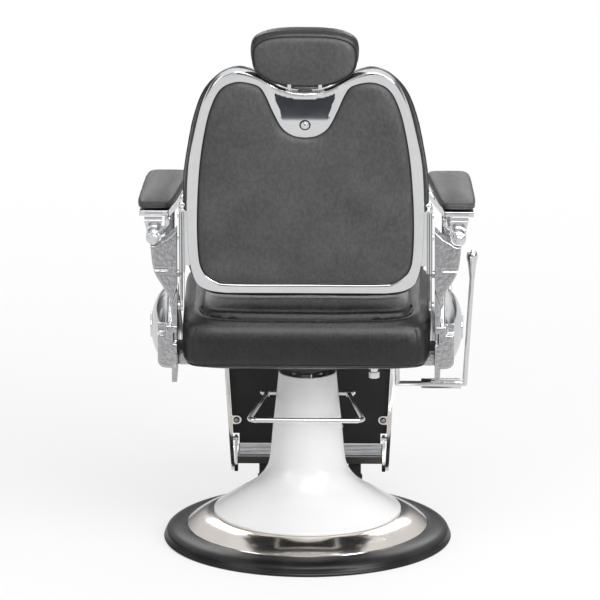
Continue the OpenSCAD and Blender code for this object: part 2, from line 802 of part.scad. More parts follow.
module panel_outline() {
    polygon(both_sides(spline(panel_half, 5)));
}

// The bright plate fills the notch between the panel's top edge and the rim's dip
module notch_outline(inset = 0) {
    top = rim_half[0][1] - 22;
    difference() {
        intersection() {
            offset(delta = -22 - inset) rim_outline();
            polygon([[-96, top + 40], [96, top + 40], [60, top - 60], [0, button_v - 60], [-60, top - 60]]);
        }
        offset(delta = inset) panel_outline();
    }
}

module back_rim() {
    color("#dcdee1")
        in_back()
            difference() {
                union() {
                    plate_y(-rim_t + 2, -1) rim_outline();
                    plate_y(-1.01, 2) offset(delta = -3) rim_outline();
                }
                plate_y(-rim_t, 3) {
                    panel_outline();
                    notch_outline();
                }
                plate_y(-rim_t, board_y) offset(delta = -8) rim_outline();
            }
}

module back_panel() {
    color("#3d3d40")
        in_back() {
            plate_y(board_y, 0) offset(delta = -gap) panel_outline();
            plate_y(-0.01, 4) offset(delta = -4) panel_outline();
        }
}

module back_board() {
    color("#b08a5e")
        in_back()
            difference() {
                plate_y(frame_y, board_y) offset(delta = -9) rim_outline();
                translate([0, -40, button_v]) rotate([-90, 0, 0]) cylinder(r = 4.5, h = 60);
            }
}

module back_frame() {
    // Second board behind the cushion: its flat sides take the hinge bars, its slot the post's guide
    color("#b08a5e")
        in_back()
            difference() {
                plate_y(pad_y, frame_y) intersection() {
                    offset(delta = -14) rim_outline();
                    translate([-back_w, 10]) square([2 * back_w, guide_top - 10]);
                }
                plate_y(pad_y - 1, frame_y + 1)
                    translate([-guide_w / 2 - gap, guide_low - gap]) square([guide_w + 2 * gap, 300]);
                for (s = [-1, 1]) {
                    box([s * (flange_x + 50) - 50, pad_y - 1, flange_v0 - 2],
                        [s * (flange_x + 50) + 50, frame_y + 1, flange_v1 + 2]);
                    for (v = bar_bolt_v)
                        bar_x(s * (flange_x + 10) - 50, s * (flange_x + 10) + 50, pad_y + frame_t / 2, v,
                            bar_bolt_r + play);
                }
            }
}

module back_cushion() {
    outline = both_sides(spline(cushion_half, 2));
    half = back_t / 2 - 3;
    color("#3d3d40")
        in_back()
            translate([0, pad_y - gap - half, 0])
                rotate([90, 0, 0])
                    stuffed(outline, [0, 250], half, 0.36, 16, 6);
}

module head_plate() {
    color("#cfd3d8")
        in_back()
            difference() {
                plate_y(board_y, -1) notch_outline(gap);
                translate([0, 150, button_v + 26]) sphere(r = 153.5);
                translate([0, -20, button_v]) rotate([-90, 0, 0]) cylinder(r = button_r + play, h = 40);
            }
}

module release_button() {
    color("#e2e4e7")
        in_back()
            translate([0, 0, button_v]) rotate([-90, 0, 0]) {
                translate([0, 0, board_y + 4.4]) cylinder(r = button_r, h = 7);
                translate([0, 0, board_y + 8]) cylinder(r = 6.5, h = 5.4);
                translate([0, 0, frame_y + 2]) cylinder(r = 4, h = board_t + 4);
            }
}

module hinge_bar() {
    // Ribbed side bar above the hinge, crank plate below it
    color("#cfd1d4")
        difference() {
            union() {
                in_back() {
                    box([bar_in, bar_u0, hinge_v + 14], [bar_out, bar_u1, bar_top_v]);
                    for (x = [bar_in + 3.2, bar_out - 5.2])
                        box([x, bar_u1 - 1, hinge_v + 18], [x + 2, bar_u1 + 2.5, bar_top_v - 4]);
                    box([flange_x, pad_y + 1, flange_v0], [crank_x + 1, frame_y - 1, flange_v1]);
                }
                plate_x(crank_x, crank_x + crank_t)
                    union() {
                        translate([hinge_y, hinge_z]) circle(r = 19);
                        translate([hinge_y, hinge_z - crank_l]) circle(r = 11);
                        translate([hinge_y - 10, hinge_z - crank_l]) square([20, crank_l]);
                        translate([back_y, back_z]) rotate(-back_lean)
                            translate([hinge_u - 9, hinge_v - 5]) square([22, 31]);
                    }
                bar_x(crank_x, link_x + link_t + gap, hinge_y, hinge_z - crank_l, link_pin_r);
            }
            bar_x(crank_x - 1, side_x + 10, hinge_y, hinge_z, hinge_d / 2 + play);
            in_back()
                for (v = bar_bolt_v)
                    bar_x(flange_x - 1, side_x, pad_y + frame_t / 2, v, bar_bolt_r + play);
        }
}

module bar_bolts() {
    color("#e2e4e7")
        in_back()
            for (s = [0, 1])
                mirror([s, 0, 0]) {
                    // Ball on the bar's top end
                    translate([bar_in + 5.5, (bar_u0 + bar_u1) / 2, bar_top_v]) {
                        translate([0, 0, 7.6]) sphere(r = 7.5);
                        cylinder(r = 4, h = 6);
                    }
                    for (v = bar_bolt_v) {
                        bar_x(flange_x - 22.5, bar_out + 1, pad_y + frame_t / 2, v, bar_bolt_r);
                        bar_x(bar_out, bar_out + 3, pad_y + frame_t / 2, v, 7);
                    }
                }
}

module head_guide() {
    color("#8d9094")
        in_back()
            difference() {
                plate_y(pad_y, frame_y)
                    translate([-guide_w / 2, guide_low]) square([guide_w, guide_top - guide_low]);
                plate_y(post_y - post_t - play, post_y + play)
                    translate([-post_w / 2 - play, guide_low - 1]) square([post_w + 2 * play, 200]);
                translate([0, post_y - 1, button_v]) rotate([-90, 0, 0]) cylinder(r = 4.5, h = 10);
            }
}

// ---------- headrest ----------

module head_post() {
    // Flat post with the tilt pin in a barrel across its top
    color("#c4c7ca")
        in_back() {
            plate_y(post_y - post_t, post_y)
                translate([-post_w / 2, post_low]) square([post_w, head_pin_v - 2 - post_low]);
            box([-post_w / 2, post_y - post_t, head_pin_v - 9], [post_w / 2, head_pin_u, head_pin_v - 2]);
            bar_x(-head_lug_x + gap, head_lug_x - gap, head_pin_u, head_pin_v, 4.5);
            bar_x(-head_lug_x - head_lug_t - 2, head_lug_x + head_lug_t + 2, head_pin_u, head_pin_v,
                head_pin_r);
        }
}

// Outline of the headrest: full at the top, rounder and narrower towards the neck
function head_ring(k) = [for (i = [0 : 39])
    let (a = 360 * i / 40, e = sin(a) < 0 ? 0.86 : 0.62, v = spow(sin(a), e))
    [k * head_w / 2 * spow(cos(a), e) * (1 + 0.045 * v), k * head_h / 2 * v]];

module head_board() {
    // Rear shell of the headrest with the two lugs that hang on the tilt pin
    y = head_y + head_t / 2 + gap;
    color("#4a4a4d")
        in_back()
            difference() {
                union() {
                    translate([0, 0, head_v]) {
                        plate_y(y, y + 5) polygon(head_ring(0.9));
                        plate_y(y + 4.9, y + 8) polygon(head_ring(0.86));
                    }
                    for (x = [head_lug_x, -head_lug_x - head_lug_t]) {
                        box([x, y, head_pin_v - 4.5], [x + head_lug_t, y + 5, head_v - 40]);
                        box([x, head_pin_u - 4.5, head_pin_v - 4.5],
                            [x + head_lug_t, y + 5, head_pin_v + 4.5]);
                    }
                }
                bar_x(-head_w, head_w, head_pin_u, head_pin_v, head_pin_r + play);
            }
}

module head_pad() {
    color("#4a4a4d")
        in_back()
            translate([0, head_y, head_v])
                rotate([90, 0, 0])
                    stuffed(head_ring(1), [0, 0], head_t / 2, 0.5, 14);
}

// ---------- side links, leg rest and footrest ----------

module link() {
    // Flat bar from the back crank's pin to the leg crank's pin
    run = hinge_y - axle_y;
    drop = hinge_z - axle_z;
    length = norm([run, drop]);
    color("#b9bcc0")
        difference() {
            plate_x(link_x, link_x + link_t)
                translate([axle_y, axle_z - crank_l]) rotate(atan2(drop, run))
                    union() {
                        circle(r = link_w / 2 + 2);
                        translate([length, 0]) circle(r = link_w / 2 + 2);
                        translate([0, -link_w / 2]) square([length, link_w]);
                    }
            bar_x(link_x - 1, link_x + link_t + 1, hinge_y, hinge_z - crank_l, link_pin_r + play);
            bar_x(link_x - 1, link_x + link_t + 1, axle_y, axle_z - crank_l, link_pin_r + gap);
        }
}

module leg_axle() {
    color("#9a9da1") {
        bar_x(-crank_x - crank_t, crank_x + crank_t, axle_y, axle_z, axle_r);
        for (s = [-1, 1]) {
            plate_x(s > 0 ? crank_x : -crank_x - crank_t, s > 0 ? crank_x + crank_t : -crank_x)
                union() {
                    translate([axle_y, axle_z]) circle(r = 16);
                    translate([axle_y, axle_z - crank_l]) circle(r = 11);
                    translate([axle_y - 9, axle_z - crank_l]) square([18, crank_l]);
                }
            bar_x(s > 0 ? crank_x : -link_x - link_t - gap, s > 0 ? link_x + link_t + gap : -crank_x,
                axle_y, axle_z - crank_l, link_pin_r);
        }
    }
}

module leg_bar() {
    // Side bar clamped on the axle; it leans inward, has an ear screwed to the board and the foot pivot
    x = leg_w / 2 + 1;
    color("#cfd1d4")
        in_leg()
            difference() {
                union() {
                    bar_x(x, x + 10, 0, 0, 17);
                    translate([x, 0, 0]) rotate([0, leg_slant, 0]) {
                        box([0, -8, -leg_bar_l], [8, 14, 0]);
                        box([2, 13, -leg_bar_l + 10], [6, 17, -20]);
                        box([-11, 4.2, -ear_v - 11], [1, 8, -ear_v + 11]);
                        translate([-11, 4.2, -ear_v]) rotate([-90, 0, 0]) cylinder(r = 11, h = 3.8);
                        translate([-11, 7, -ear_v]) rotate([-90, 0, 0]) cylinder(r = 5, h = 3);
                    }
                    bar_x(tread_w / 2 - 2, x - foot_v * tan(leg_slant) + 2, foot_u, -foot_v, foot_pin_r);
                }
                bar_x(x - 1, x + 12, 0, 0, axle_r + play);
            }
}

module leg_board() {
    low_w = leg_w / 2 - (leg_top + leg_l) * tan(leg_slant);
    color("#2c2d30")
        in_leg()
            difference() {
                plate_y(-8, 4)
                    polygon([[-low_w, -leg_top - leg_l], [low_w, -leg_top - leg_l],
                        [leg_w / 2 - leg_top * tan(leg_slant), -leg_top],
                        [-leg_w / 2 + leg_top * tan(leg_slant), -leg_top]]);
                // Corners cut away for the foot pivots
                for (s = [-1, 1])
                    box([s * (tread_w / 2 + 20) - 24, -9, -foot_v - 30],
                        [s * (tread_w / 2 + 20) + 24, 5, -foot_v + 14]);
            }
}

module leg_pad() {
    // It stops short of the foot pivots, so that the footrest's arms pass below it
    length = foot_v - 20 - leg_top;
    half = (leg_pad_t - gap) / 2 - 2;
    mid = leg_w / 2 - 2 - (leg_top + length / 2) * tan(leg_slant);
    ring = [for (q = block_ring(mid, length / 2, 0.22, 40))
        [q[0] + sign(q[0]) * q[1] * tan(leg_slant), q[1]]];
    color("#3d3d40")
        in_leg()
            translate([0, -8 - gap - half, -leg_top - length / 2])
                rotate([90, 0, 0])
                    stuffed(ring, [0, 0], half, 0.4, 12, 5);
}

module foot_arms() {
    // Two arms that hang from the foot pivots and carry the tread between them
    x = tread_w / 2;
    color("#cfd1d4")
        for (s = [0, 1])
            mirror([s, 0, 0])
                difference() {
                    union() {
                        box([x, foot_y - 9, tread_top - 33], [x + foot_arm_t, foot_y + 9, foot_z]);
                        bar_x(x, x + foot_arm_t, foot_y, foot_z, 9);
                        box([x, foot_y - tread_d + 10, tread_top - tread_t], [x + 4, foot_y, tread_top - 3]);
                    }
                    bar_x(x - 1, x + 8, foot_y, foot_z, foot_pin_r + play);
                }
}

module foot_tread() {
    // Ribbed tread with a deep lip at the back and a shallow one in front
    x = tread_w / 2;
    pitch = (tread_d - 14) / tread_ribs;
    color("#d9dbde") {
        box([-x, foot_y - tread_d, tread_top - 5], [x, foot_y + 5, tread_top]);
        box([-x, foot_y, tread_top - tread_t], [x, foot_y + 5, tread_top]);
        box([-x, foot_y - tread_d, tread_top - 12], [x, foot_y - tread_d + 4, tread_top]);
        for (i = [0 : tread_ribs - 1])
            box([-x + 4, foot_y - tread_d + 10 + i * pitch, tread_top - 1],
                [x - 4, foot_y - tread_d + 10 + (i + 0.55) * pitch, tread_top + 1.8]);
    }
}

module foot_legs() {
    // Two flat legs under the tread with wider feet
    color("#4b4c4f")
        for (s = [-1, 1]) {
            box([s * 100 - 14, foot_y - 22, tread_top - 52], [s * 100 + 14, foot_y - 10, tread_top - 5]);
            box([s * 100 - 17, foot_y - 25, tread_top - 55], [s * 100 + 17, foot_y - 7, tread_top - 47]);
        }
}

// ---------- drawing ----------

floor_ring();
base_disc();
base_dish();
column_cover();
pump_cylinder();
cylinder_gland();
base_bolts();
pedal_shaft();
pedal_loop();
pedal_nuts();
pump_plunger();
ram_rod();
ram_piston();
swivel_bearing();
swivel_hub();
seat_frame();
hub_bolts();
seat_board();
seat_cushion();
recline_lock();
side_casting();  // side_casting_left
right() side_casting();  // side_casting_right
side_dome();  // side_dome_left
right() side_dome();  // side_dome_right
arm_bracket();  // arm_bracket_left
right() arm_bracket();  // arm_bracket_right
arm_knuckle();  // arm_knuckle_left
right() arm_knuckle();  // arm_knuckle_right
arm_plate();  // arm_plate_left
right() arm_plate();  // arm_plate_right
arm_pad();  // arm_pad_left
right() arm_pad();  // arm_pad_right
hinge_pins();
lever_arm();
lever_sleeve();
lever_knob();
back_frame();
back_board();
back_rim();
back_panel();
back_cushion();
head_plate();
hinge_bar();  // hinge_bar_left
right() hinge_bar();  // hinge_bar_right
bar_bolts();
head_guide();
release_button();
head_post();
head_board();
head_pad();
link();  // link_left
right() link();  // link_right
leg_axle();
leg_bar();  // leg_bar_left
right() leg_bar();  // leg_bar_right
leg_board();
leg_pad();
foot_arms();
foot_tread();
foot_legs();
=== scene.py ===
import json
import math

import bmesh
import bpy
from mathutils import Matrix, Vector, noise
from mathutils.bvhtree import BVHTree
from mathutils.geometry import delaunay_2d_cdt
from mathutils.kdtree import KDTree


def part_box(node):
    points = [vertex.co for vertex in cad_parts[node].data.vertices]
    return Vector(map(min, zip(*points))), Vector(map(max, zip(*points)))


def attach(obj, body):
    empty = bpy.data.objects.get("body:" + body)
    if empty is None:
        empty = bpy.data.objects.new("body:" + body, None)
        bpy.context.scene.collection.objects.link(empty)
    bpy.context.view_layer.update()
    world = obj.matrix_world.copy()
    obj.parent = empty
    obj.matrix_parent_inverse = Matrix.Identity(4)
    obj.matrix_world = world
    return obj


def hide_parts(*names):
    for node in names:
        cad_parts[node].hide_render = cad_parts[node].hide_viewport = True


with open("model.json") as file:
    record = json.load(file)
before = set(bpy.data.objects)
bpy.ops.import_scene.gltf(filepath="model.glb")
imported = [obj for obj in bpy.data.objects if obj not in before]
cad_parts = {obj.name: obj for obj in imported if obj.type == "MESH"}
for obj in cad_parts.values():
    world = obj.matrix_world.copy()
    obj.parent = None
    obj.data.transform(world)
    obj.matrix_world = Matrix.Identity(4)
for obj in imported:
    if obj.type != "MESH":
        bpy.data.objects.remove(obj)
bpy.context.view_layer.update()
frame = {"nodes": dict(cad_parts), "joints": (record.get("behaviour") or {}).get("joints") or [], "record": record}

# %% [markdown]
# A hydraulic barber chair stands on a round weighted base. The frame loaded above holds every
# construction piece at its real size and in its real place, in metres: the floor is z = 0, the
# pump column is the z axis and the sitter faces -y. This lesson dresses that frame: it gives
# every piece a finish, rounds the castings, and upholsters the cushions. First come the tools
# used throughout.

MM = 0.001
scene = bpy.context.scene
joint_at = {j["name"]: Vector(j["pos_m"]) for j in frame["joints"] if "pos_m" in j}
SIDES = (("left", 1), ("right", -1))


def middle_of(node):
    """The middle of a construction piece's box."""
    low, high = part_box(node)
    return (low + high) / 2


def span(points, axis):
    """Lowest and highest value along one axis."""
    values = [p[axis] for p in points]
    return min(values), max(values)


def new_piece(name, mesh, finish=None):
    """A linked object at the origin that holds the mesh and wears the finish."""
    piece = bpy.data.objects.new(name, mesh)
    scene.collection.objects.link(piece)
    if finish:
        mesh.materials.append(finish)
    return piece


def mesh_from(name, points, faces=(), edges=()):
    """A mesh from plain lists of points, edges and faces."""
    mesh = bpy.data.meshes.new(name)
    mesh.from_pydata([tuple(p) for p in points], list(edges), list(faces))
    mesh.update()
    return mesh


def bake_modifiers(piece):
    """Turns the piece's modifiers into a plain mesh."""
    bpy.context.view_layer.update()
    seen = piece.evaluated_get(bpy.context.evaluated_depsgraph_get())
    old, piece.data = piece.data, bpy.data.meshes.new_from_object(seen)
    piece.modifiers.clear()
    bpy.data.meshes.remove(old)
    return piece


def smooth(piece, angle):
    """Smooth shading that stays crisp where faces meet at more than the angle."""
    piece.data.shade_smooth()
    piece.data.set_sharp_from_angle(angle=math.radians(angle))
    return piece


def tidy(mesh, matrix=None):
    """Merges doubles, moves the mesh to its place and turns all faces outwards."""
    work = bmesh.new()
    work.from_mesh(mesh)
    bmesh.ops.remove_doubles(work, verts=work.verts, dist=1e-6)
    if matrix is not None:
        work.transform(matrix)
    bmesh.ops.recalc_face_normals(work, faces=work.faces)
    work.to_mesh(mesh)
    work.free()
    return mesh


# %% [markdown]
# The back leans on its hinge and the leg rest hangs from its axle, so both are easiest to model
# upright in a local frame: x across, y rearward, z up the slope. Two matrices carry such a shape
# to its place. They start from the joints of the frame, so they follow the construction.

# %% Local frames of the back and the leg rest
BACK = (Matrix.Translation(joint_at["back_recline"] + Vector((0, 0.025, -0.039)))
        @ Matrix.Rotation(math.radians(-13), 4, "X"))
LEG = Matrix.Translation(joint_at["leg_raise"]) @ Matrix.Rotation(math.radians(-14.5), 4, "X")
FACE = Matrix.Rotation(math.radians(90), 4, "X")    # a drawing in x and y stands up in x and z
STAND = BACK @ FACE @ Matrix.Scale(-1, 4, (0, 0, 1))    # stands up and rises towards the rear
BUTTON_UP, HEAD_UP = 0.426, 0.592    # the button and the headrest's middle, up the back


def spline(points, steps):
    """Catmull-Rom curve through the points, ends included."""
    out = []
    for i in range(len(points) - 1):
        a, b = points[max(i - 1, 0)], points[i]
        c, d = points[i + 1], points[min(i + 2, len(points) - 1)]
        for k in range(steps):
            t = k / steps
            out.append(tuple(0.5 * (2 * q + (r - p) * t + (2 * p - 5 * q + 4 * r - s) * t * t
                                    + (3 * q - 3 * r + s - p) * t ** 3)
                             for p, q, r, s in zip(a, b, c, d)))
    return out + [tuple(points[-1])]


def both_sides(half):
    """A closed outline from its right half, drawn from the top middle to the bottom middle."""
    return list(half) + [(-x, y) for x, y in half[-2:0:-1]]


def power(c, e):
    """Signed power, which squares up a circle into a rounded block."""
    return math.copysign(abs(c) ** e, c)


def block_ring(hx, hy, e, n):
    """A rounded rectangle as a superellipse of n points."""
    turn = [2 * math.pi * i / n for i in range(n)]
    return [(hx * power(math.cos(a), e), hy * power(math.sin(a), e)) for a in turn]


RIM = [(0, 504), (30, 507), (60, 517), (102, 544), (145, 558), (174, 551), (197, 533), (214, 503),
       (229, 462), (244, 395), (258, 310), (262, 200), (258, 95), (245, 32), (222, 9), (185, 1),
       (150, 0), (0, 0)]
PANEL = [(0, 392), (27, 397), (52, 417), (72, 458), (88, 498), (104, 521), (140, 531), (166, 526),
         (186, 511), (202, 480), (217, 425), (231, 330), (238, 210), (237, 110), (228, 58),
         (200, 30), (160, 23), (0, 23)]
CUSHION = [(0, 480), (60, 495), (104, 524), (145, 538), (180, 528), (212, 498), (230, 466),
           (244, 420), (254, 372), (268, 275), (270, 200), (267, 95), (256, 20), (225, -28),
           (160, -38), (0, -38)]
rim_outline = [Vector(p) * MM for p in both_sides(spline(RIM, 10))]
panel_outline = [Vector(p) * MM for p in both_sides(spline(PANEL, 10))]
back_outline = [Vector(p) * MM for p in both_sides(spline(CUSHION, 8))]
print("outlines:", len(rim_outline), len(panel_outline), len(back_outline), "points")

# %% [markdown]
# Shader maths reads best as plain expressions. `Link` wraps one output socket and turns sums and
# products into Math nodes; `Finish` holds one material and makes any other node in one call.

# %% A small language for shaders
class Link:
    """One output socket, with arithmetic."""

    def __init__(self, finish, socket):
        self.finish, self.socket = finish, socket

    def math(self, operation, *others, first=None):
        values = {0: self if first is None else first}
        values.update({i + 1: v for i, v in enumerate(others)})
        return self.finish.node("Math", {"operation": operation}, values)

    def __add__(self, other):
        return self.math("ADD", other)

    __radd__ = __add__

    def __sub__(self, other):
        return self.math("SUBTRACT", other)

    def __rsub__(self, other):
        return self.math("SUBTRACT", self, first=other)

    def __mul__(self, other):
        return self.math("MULTIPLY", other)

    __rmul__ = __mul__

    def __pow__(self, other):
        return self.math("POWER", other)

    def between(self, low, high, out_low=0.0, out_high=1.0):
        """Smooth step from low to high."""
        return self.finish.node("MapRange", {"interpolation_type": "SMOOTHSTEP"},
                                {"Value": self, "From Min": low, "From Max": high,
                                 "To Min": out_low, "To Max": out_high})


class Finish:
    """One material, or the world when it is handed in, and the nodes inside it."""

    def __init__(self, name, world=None):
        self.material = world or bpy.data.materials.new(name)
        self.material.use_nodes = True
        self.tree = self.material.node_tree
        self.tree.nodes.clear()
        self.end = self.tree.nodes.new("ShaderNodeOutput" + ("World" if world else "Material"))

    def node(self, kind, settings=None, values=None, out=0):
        made = self.tree.nodes.new("ShaderNode" + kind)
        for key, value in (settings or {}).items():
            if key == "stops":
                while len(made.color_ramp.elements) < len(value):
                    made.color_ramp.elements.new(0.5)
                for element, (place, colour) in zip(made.color_ramp.elements, value):
                    element.position, element.color = place, (*colour, 1)
            else:
                setattr(made, key, value)
        for key, value in (values or {}).items():
            socket = made.inputs[key]
            if isinstance(value, Link):
                self.tree.links.new(value.socket, socket)
            else:
                socket.default_value = (*value, 1) if socket.type == "RGBA" else value
        return Link(self, made.outputs[out])

    def place(self):
        """The point's place in metres; in the world, the direction looked along."""
        return self.node("TexCoord", out=3)

    def axes(self):
        """The x, y and z of the place."""
        return [self.node("SeparateXYZ", {}, {0: self.place()}, out=i) for i in range(3)]

    def noise(self, scale, detail=3.0, rough=0.5, stretch=None):
        vector = self.place()
        if stretch:
            vector = self.node("Mapping", {}, {"Vector": vector, "Scale": stretch})
        return self.node("TexNoise", {}, {"Vector": vector, "Scale": scale, "Detail": detail,
                                          "Roughness": rough})

    def mix(self, factor, low, high):
        """Colour mix; low and high are colours or links."""
        return self.node("Mix", {"data_type": "RGBA"}, {0: factor, 6: low, 7: high}, out=2)

    def bump(self, height, strength, distance, normal=None):
        values = {"Height": height, "Strength": strength, "Distance": distance}
        if normal:
            values["Normal"] = normal
        return self.node("Bump", {}, values)

    def surface(self, **values):
        """Ends the material; spaces in socket names are written as underscores."""
        named = {key.replace("_", " "): value for key, value in values.items()}
        return self.close(self.node("BsdfPrincipled", {}, named))

    def close(self, link):
        """Ends the material or the world with a finished shader."""
        self.tree.links.new(link.socket, self.end.inputs[0])
        return self.material


print("shader language ready")

# %% [markdown]
# Barber chairs are covered in heavy charcoal leathercloth. Close up it has a pebbled grain about
# a millimetre and a half across, finer pores, and slow variation where it has been stretched over
# foam. Seams sit in a shadowed valley, and the ridges beside them are rubbed slightly smoother.
# The upholstery pieces carry a `seam` attribute that is 1 in the valley, which this finish reads
# to paint shade into the valley by darkening the colour there.

# %% Finish: charcoal leathercloth, with lighter copies that carry painted light
def scaled(tone, factor):
    """A colour made lighter or darker."""
    return tuple(c * factor for c in tone)


def leather(name, tone, rough, shine):
    made = Finish(name)
    wander = made.noise(55.0, 2.0)
    cells = made.node("TexVoronoi", {"feature": "DISTANCE_TO_EDGE"},
                      {"Vector": made.place(), "Scale": 640.0, "Randomness": 0.95})
    pores = made.noise(2600.0, 2.0)
    cloud = made.noise(11.0, 4.0, 0.55)
    creases = made.noise(34.0, 5.0, 0.62, stretch=(1.0, 1.0, 2.2))
    seam = made.node("Attribute", {"attribute_name": "seam"}, out=2)
    grain = cells.between(0.0, 0.22)
    mottle = made.noise(150.0, 4.0, 0.65, stretch=(1.0, 1.0, 0.6))
    shade = cloud.between(0.3, 0.72) * 0.45 + mottle.between(0.35, 0.66) * 0.55
    colour = made.mix(shade, scaled(tone, 0.62), scaled(tone, 1.42))
    colour = made.mix((1 - grain) * 0.35, colour, scaled(tone, 0.45))
    # Painted shade: the colour darkens in the seam valleys, where the seam attribute is 1.
    colour = made.mix(seam * 0.55, colour, scaled(tone, 0.3))
    gloss = rough + cloud * 0.12 + wander * 0.08 + (1 - grain) * 0.14 + seam * 0.18
    height = grain * 0.55 + pores * 0.15 + wander * 0.2
    normal = made.bump(creases, 0.22, 0.0022)
    normal = made.bump(height, 0.5, 0.00028, normal)
    return made.surface(Base_Color=colour, Roughness=gloss, Normal=normal, Specular_IOR_Level=shine,
                        Sheen_Weight=0.04, Sheen_Roughness=0.5)


# One leathercloth in three tones. The seat, back cushion, leg pad and headrest pad wear the dark tone; the rear
# panel, the headrest shell and the arm pads wear lighter copies that stand in for the stronger light on them:
# painted light.
LEATHER = leather("charcoal_leathercloth", (0.013, 0.0127, 0.013), 0.10, 0.5)
LIT_PANEL_LEATHER = leather("charcoal_leathercloth_rear_lit_copy", (0.06, 0.0587, 0.0592), 0.27, 0.5)
LIT_ARM_LEATHER = leather("charcoal_leathercloth_arms_lit_copy", (0.082, 0.078, 0.079), 0.3, 0.46)
print("upholstery finishes made")

# %% [markdown]
# Bright plating hides nothing: its colour is the room's. What tells chrome from a mirror is very
# slight: a long wave in the polish, faint haze, and in the castings a fine pitting from the mould.
# The castings' colour is also darkened in the low spots of their bumpy skin: painted shade.

# %% Finish: chrome plate, plain and cast
def chrome(name, tone, rough, wave, pits=0.0):
    made = Finish(name)
    haze = made.noise(18.0, 4.0, 0.6)
    swirl = made.noise(420.0, 2.0, stretch=(1.0, 0.25, 1.0))
    normal = made.bump(made.noise(26.0, 2.0, 0.4), wave, 0.0012)
    colour = made.mix(haze.between(0.3, 0.75), scaled(tone, 0.93), tone)
    if pits:
        normal = made.bump(made.noise(520.0, 3.0, 0.7), pits, 0.0006, normal)
        shaded_hollows = made.noise(120.0, 3.0, 0.55)
        normal = made.bump(shaded_hollows, 0.42, 0.003, normal)
        # Painted shade: the colour is darker in the low spots of the cast skin.
        colour = made.mix(shaded_hollows.between(0.25, 0.75), scaled(tone, 0.8), colour)
    return made.surface(Base_Color=colour, Metallic=1.0, Normal=normal,
                        Roughness=rough + haze * 0.05 + swirl * 0.03)


CHROME = chrome("chrome_plate", (0.87, 0.875, 0.885), 0.055, 0.10)
CAST_CHROME = chrome("chrome_plated_casting", (0.66, 0.66, 0.67), 0.17, 0.40, 0.3)
ROD_CHROME = chrome("chrome_plated_rod", (0.86, 0.865, 0.875), 0.07, 0.05)
print("plated finishes made")

# %% [markdown]
# The dish in the base is turned: spun steel keeps faint rings around its axis. The rings come
# from noise read along the radius only, so they stay circles wherever the piece is seen from.

# %% Finish: turned steel, machined steel, ribbed aluminium
def turned_steel(name, tone, rough, rings):
    made = Finish(name)
    x, y, z = made.axes()
    radius = (x * x + y * y) ** 0.5
    line = made.node("CombineXYZ", {}, {0: radius * rings, 1: z * rings * 0.2, 2: 0.37})
    marks = made.node("TexNoise", {}, {"Vector": line, "Scale": 1.0, "Detail": 4.0})
    cloud = made.noise(8.0, 3.0)
    colour = made.mix(cloud.between(0.3, 0.7), scaled(tone, 0.9), tone)
    return made.surface(Base_Color=colour, Metallic=1.0, Normal=made.bump(marks, 0.12, 0.0002),
                        Roughness=rough + marks * 0.06 + cloud * 0.05)


def machined(name, tone, rough, stretch=(1.0, 1.0, 14.0), groove_shade=None):
    made = Finish(name)
    lay = made.noise(160.0, 4.0, 0.6, stretch=stretch)
    dust = made.noise(22.0, 5.0, 0.6)
    colour = made.mix(dust.between(0.4, 0.8), tone, scaled(tone, 0.7))
    # Where a depth band is given, the channel floors below the crest are painted dark: painted shade.
    if groove_shade:
        colour = made.mix(made.axes()[2].between(*groove_shade), scaled(tone, 0.22), colour)
    return made.surface(Base_Color=colour, Metallic=1.0, Normal=made.bump(lay, 0.2, 0.0003),
                        Roughness=rough + lay * 0.14 + dust * 0.06)


DISH_STEEL = turned_steel("turned_dish_steel", (0.80, 0.75, 0.695), 0.09, 900.0)
BRIGHT_STEEL = machined("machined_steel", (0.60, 0.61, 0.63), 0.24)
BOLT_STEEL = machined("zinc_plated_bolts", (0.58, 0.585, 0.57), 0.3, (3.0, 3.0, 3.0))
tread_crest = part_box("foot_tread")[1].z
# The tread's channel floors take painted shade.
TREAD_ALLOY = machined("extruded_tread_alloy", (0.42, 0.423, 0.43), 0.32, (0.12, 6.0, 6.0),
                       (tread_crest - 0.0019, tread_crest - 0.0006))
print("bare metal finishes made")

# %% [markdown]
# The column cover is stove enamelled: a hard white gloss with the faintest orange peel. The
# rubber ring on the floor is moulded, satin and a little dusty where shoes reach it.

# %% Finish: enamel, rubber, paints, boards
def enamel(name, tone):
    made = Finish(name)
    cloud = made.noise(7.0, 3.0)
    colour = made.mix(cloud.between(0.35, 0.75), tone, scaled(tone, 0.965))
    normal = made.bump(made.noise(240.0, 2.0), 0.06, 0.0004)
    return made.surface(Base_Color=colour, Roughness=0.2 + cloud * 0.08, Normal=normal,
                        Coat_Weight=0.35, Coat_Roughness=0.04)


def rubber(name, tone):
    made = Finish(name)
    dust = made.noise(9.0, 6.0, 0.62)
    fine = made.noise(900.0, 2.0)
    scuff = made.noise(60.0, 4.0, 0.7, stretch=(1.0, 1.0, 4.0))
    veil = dust.between(0.42, 0.78) * 0.12 + scuff.between(0.62, 0.8) * 0.1
    colour = made.mix(veil, tone, (0.11, 0.108, 0.105))
    normal = made.bump(scuff, 0.15, 0.0008, made.bump(fine, 0.25, 0.0003))
    return made.surface(Base_Color=colour, Roughness=0.2 + dust * 0.14 + scuff * 0.08,
                        Normal=normal, Specular_IOR_Level=0.3)


def paint(name, tone, rough, grit):
    made = Finish(name)
    cloud = made.noise(14.0, 5.0, 0.6)
    skin = made.noise(grit, 3.0, 0.6)
    colour = made.mix(cloud.between(0.35, 0.75), tone, scaled(tone, 1.5))
    return made.surface(Base_Color=colour, Roughness=rough + skin * 0.14,
                        Normal=made.bump(skin, 0.3, 0.0006))


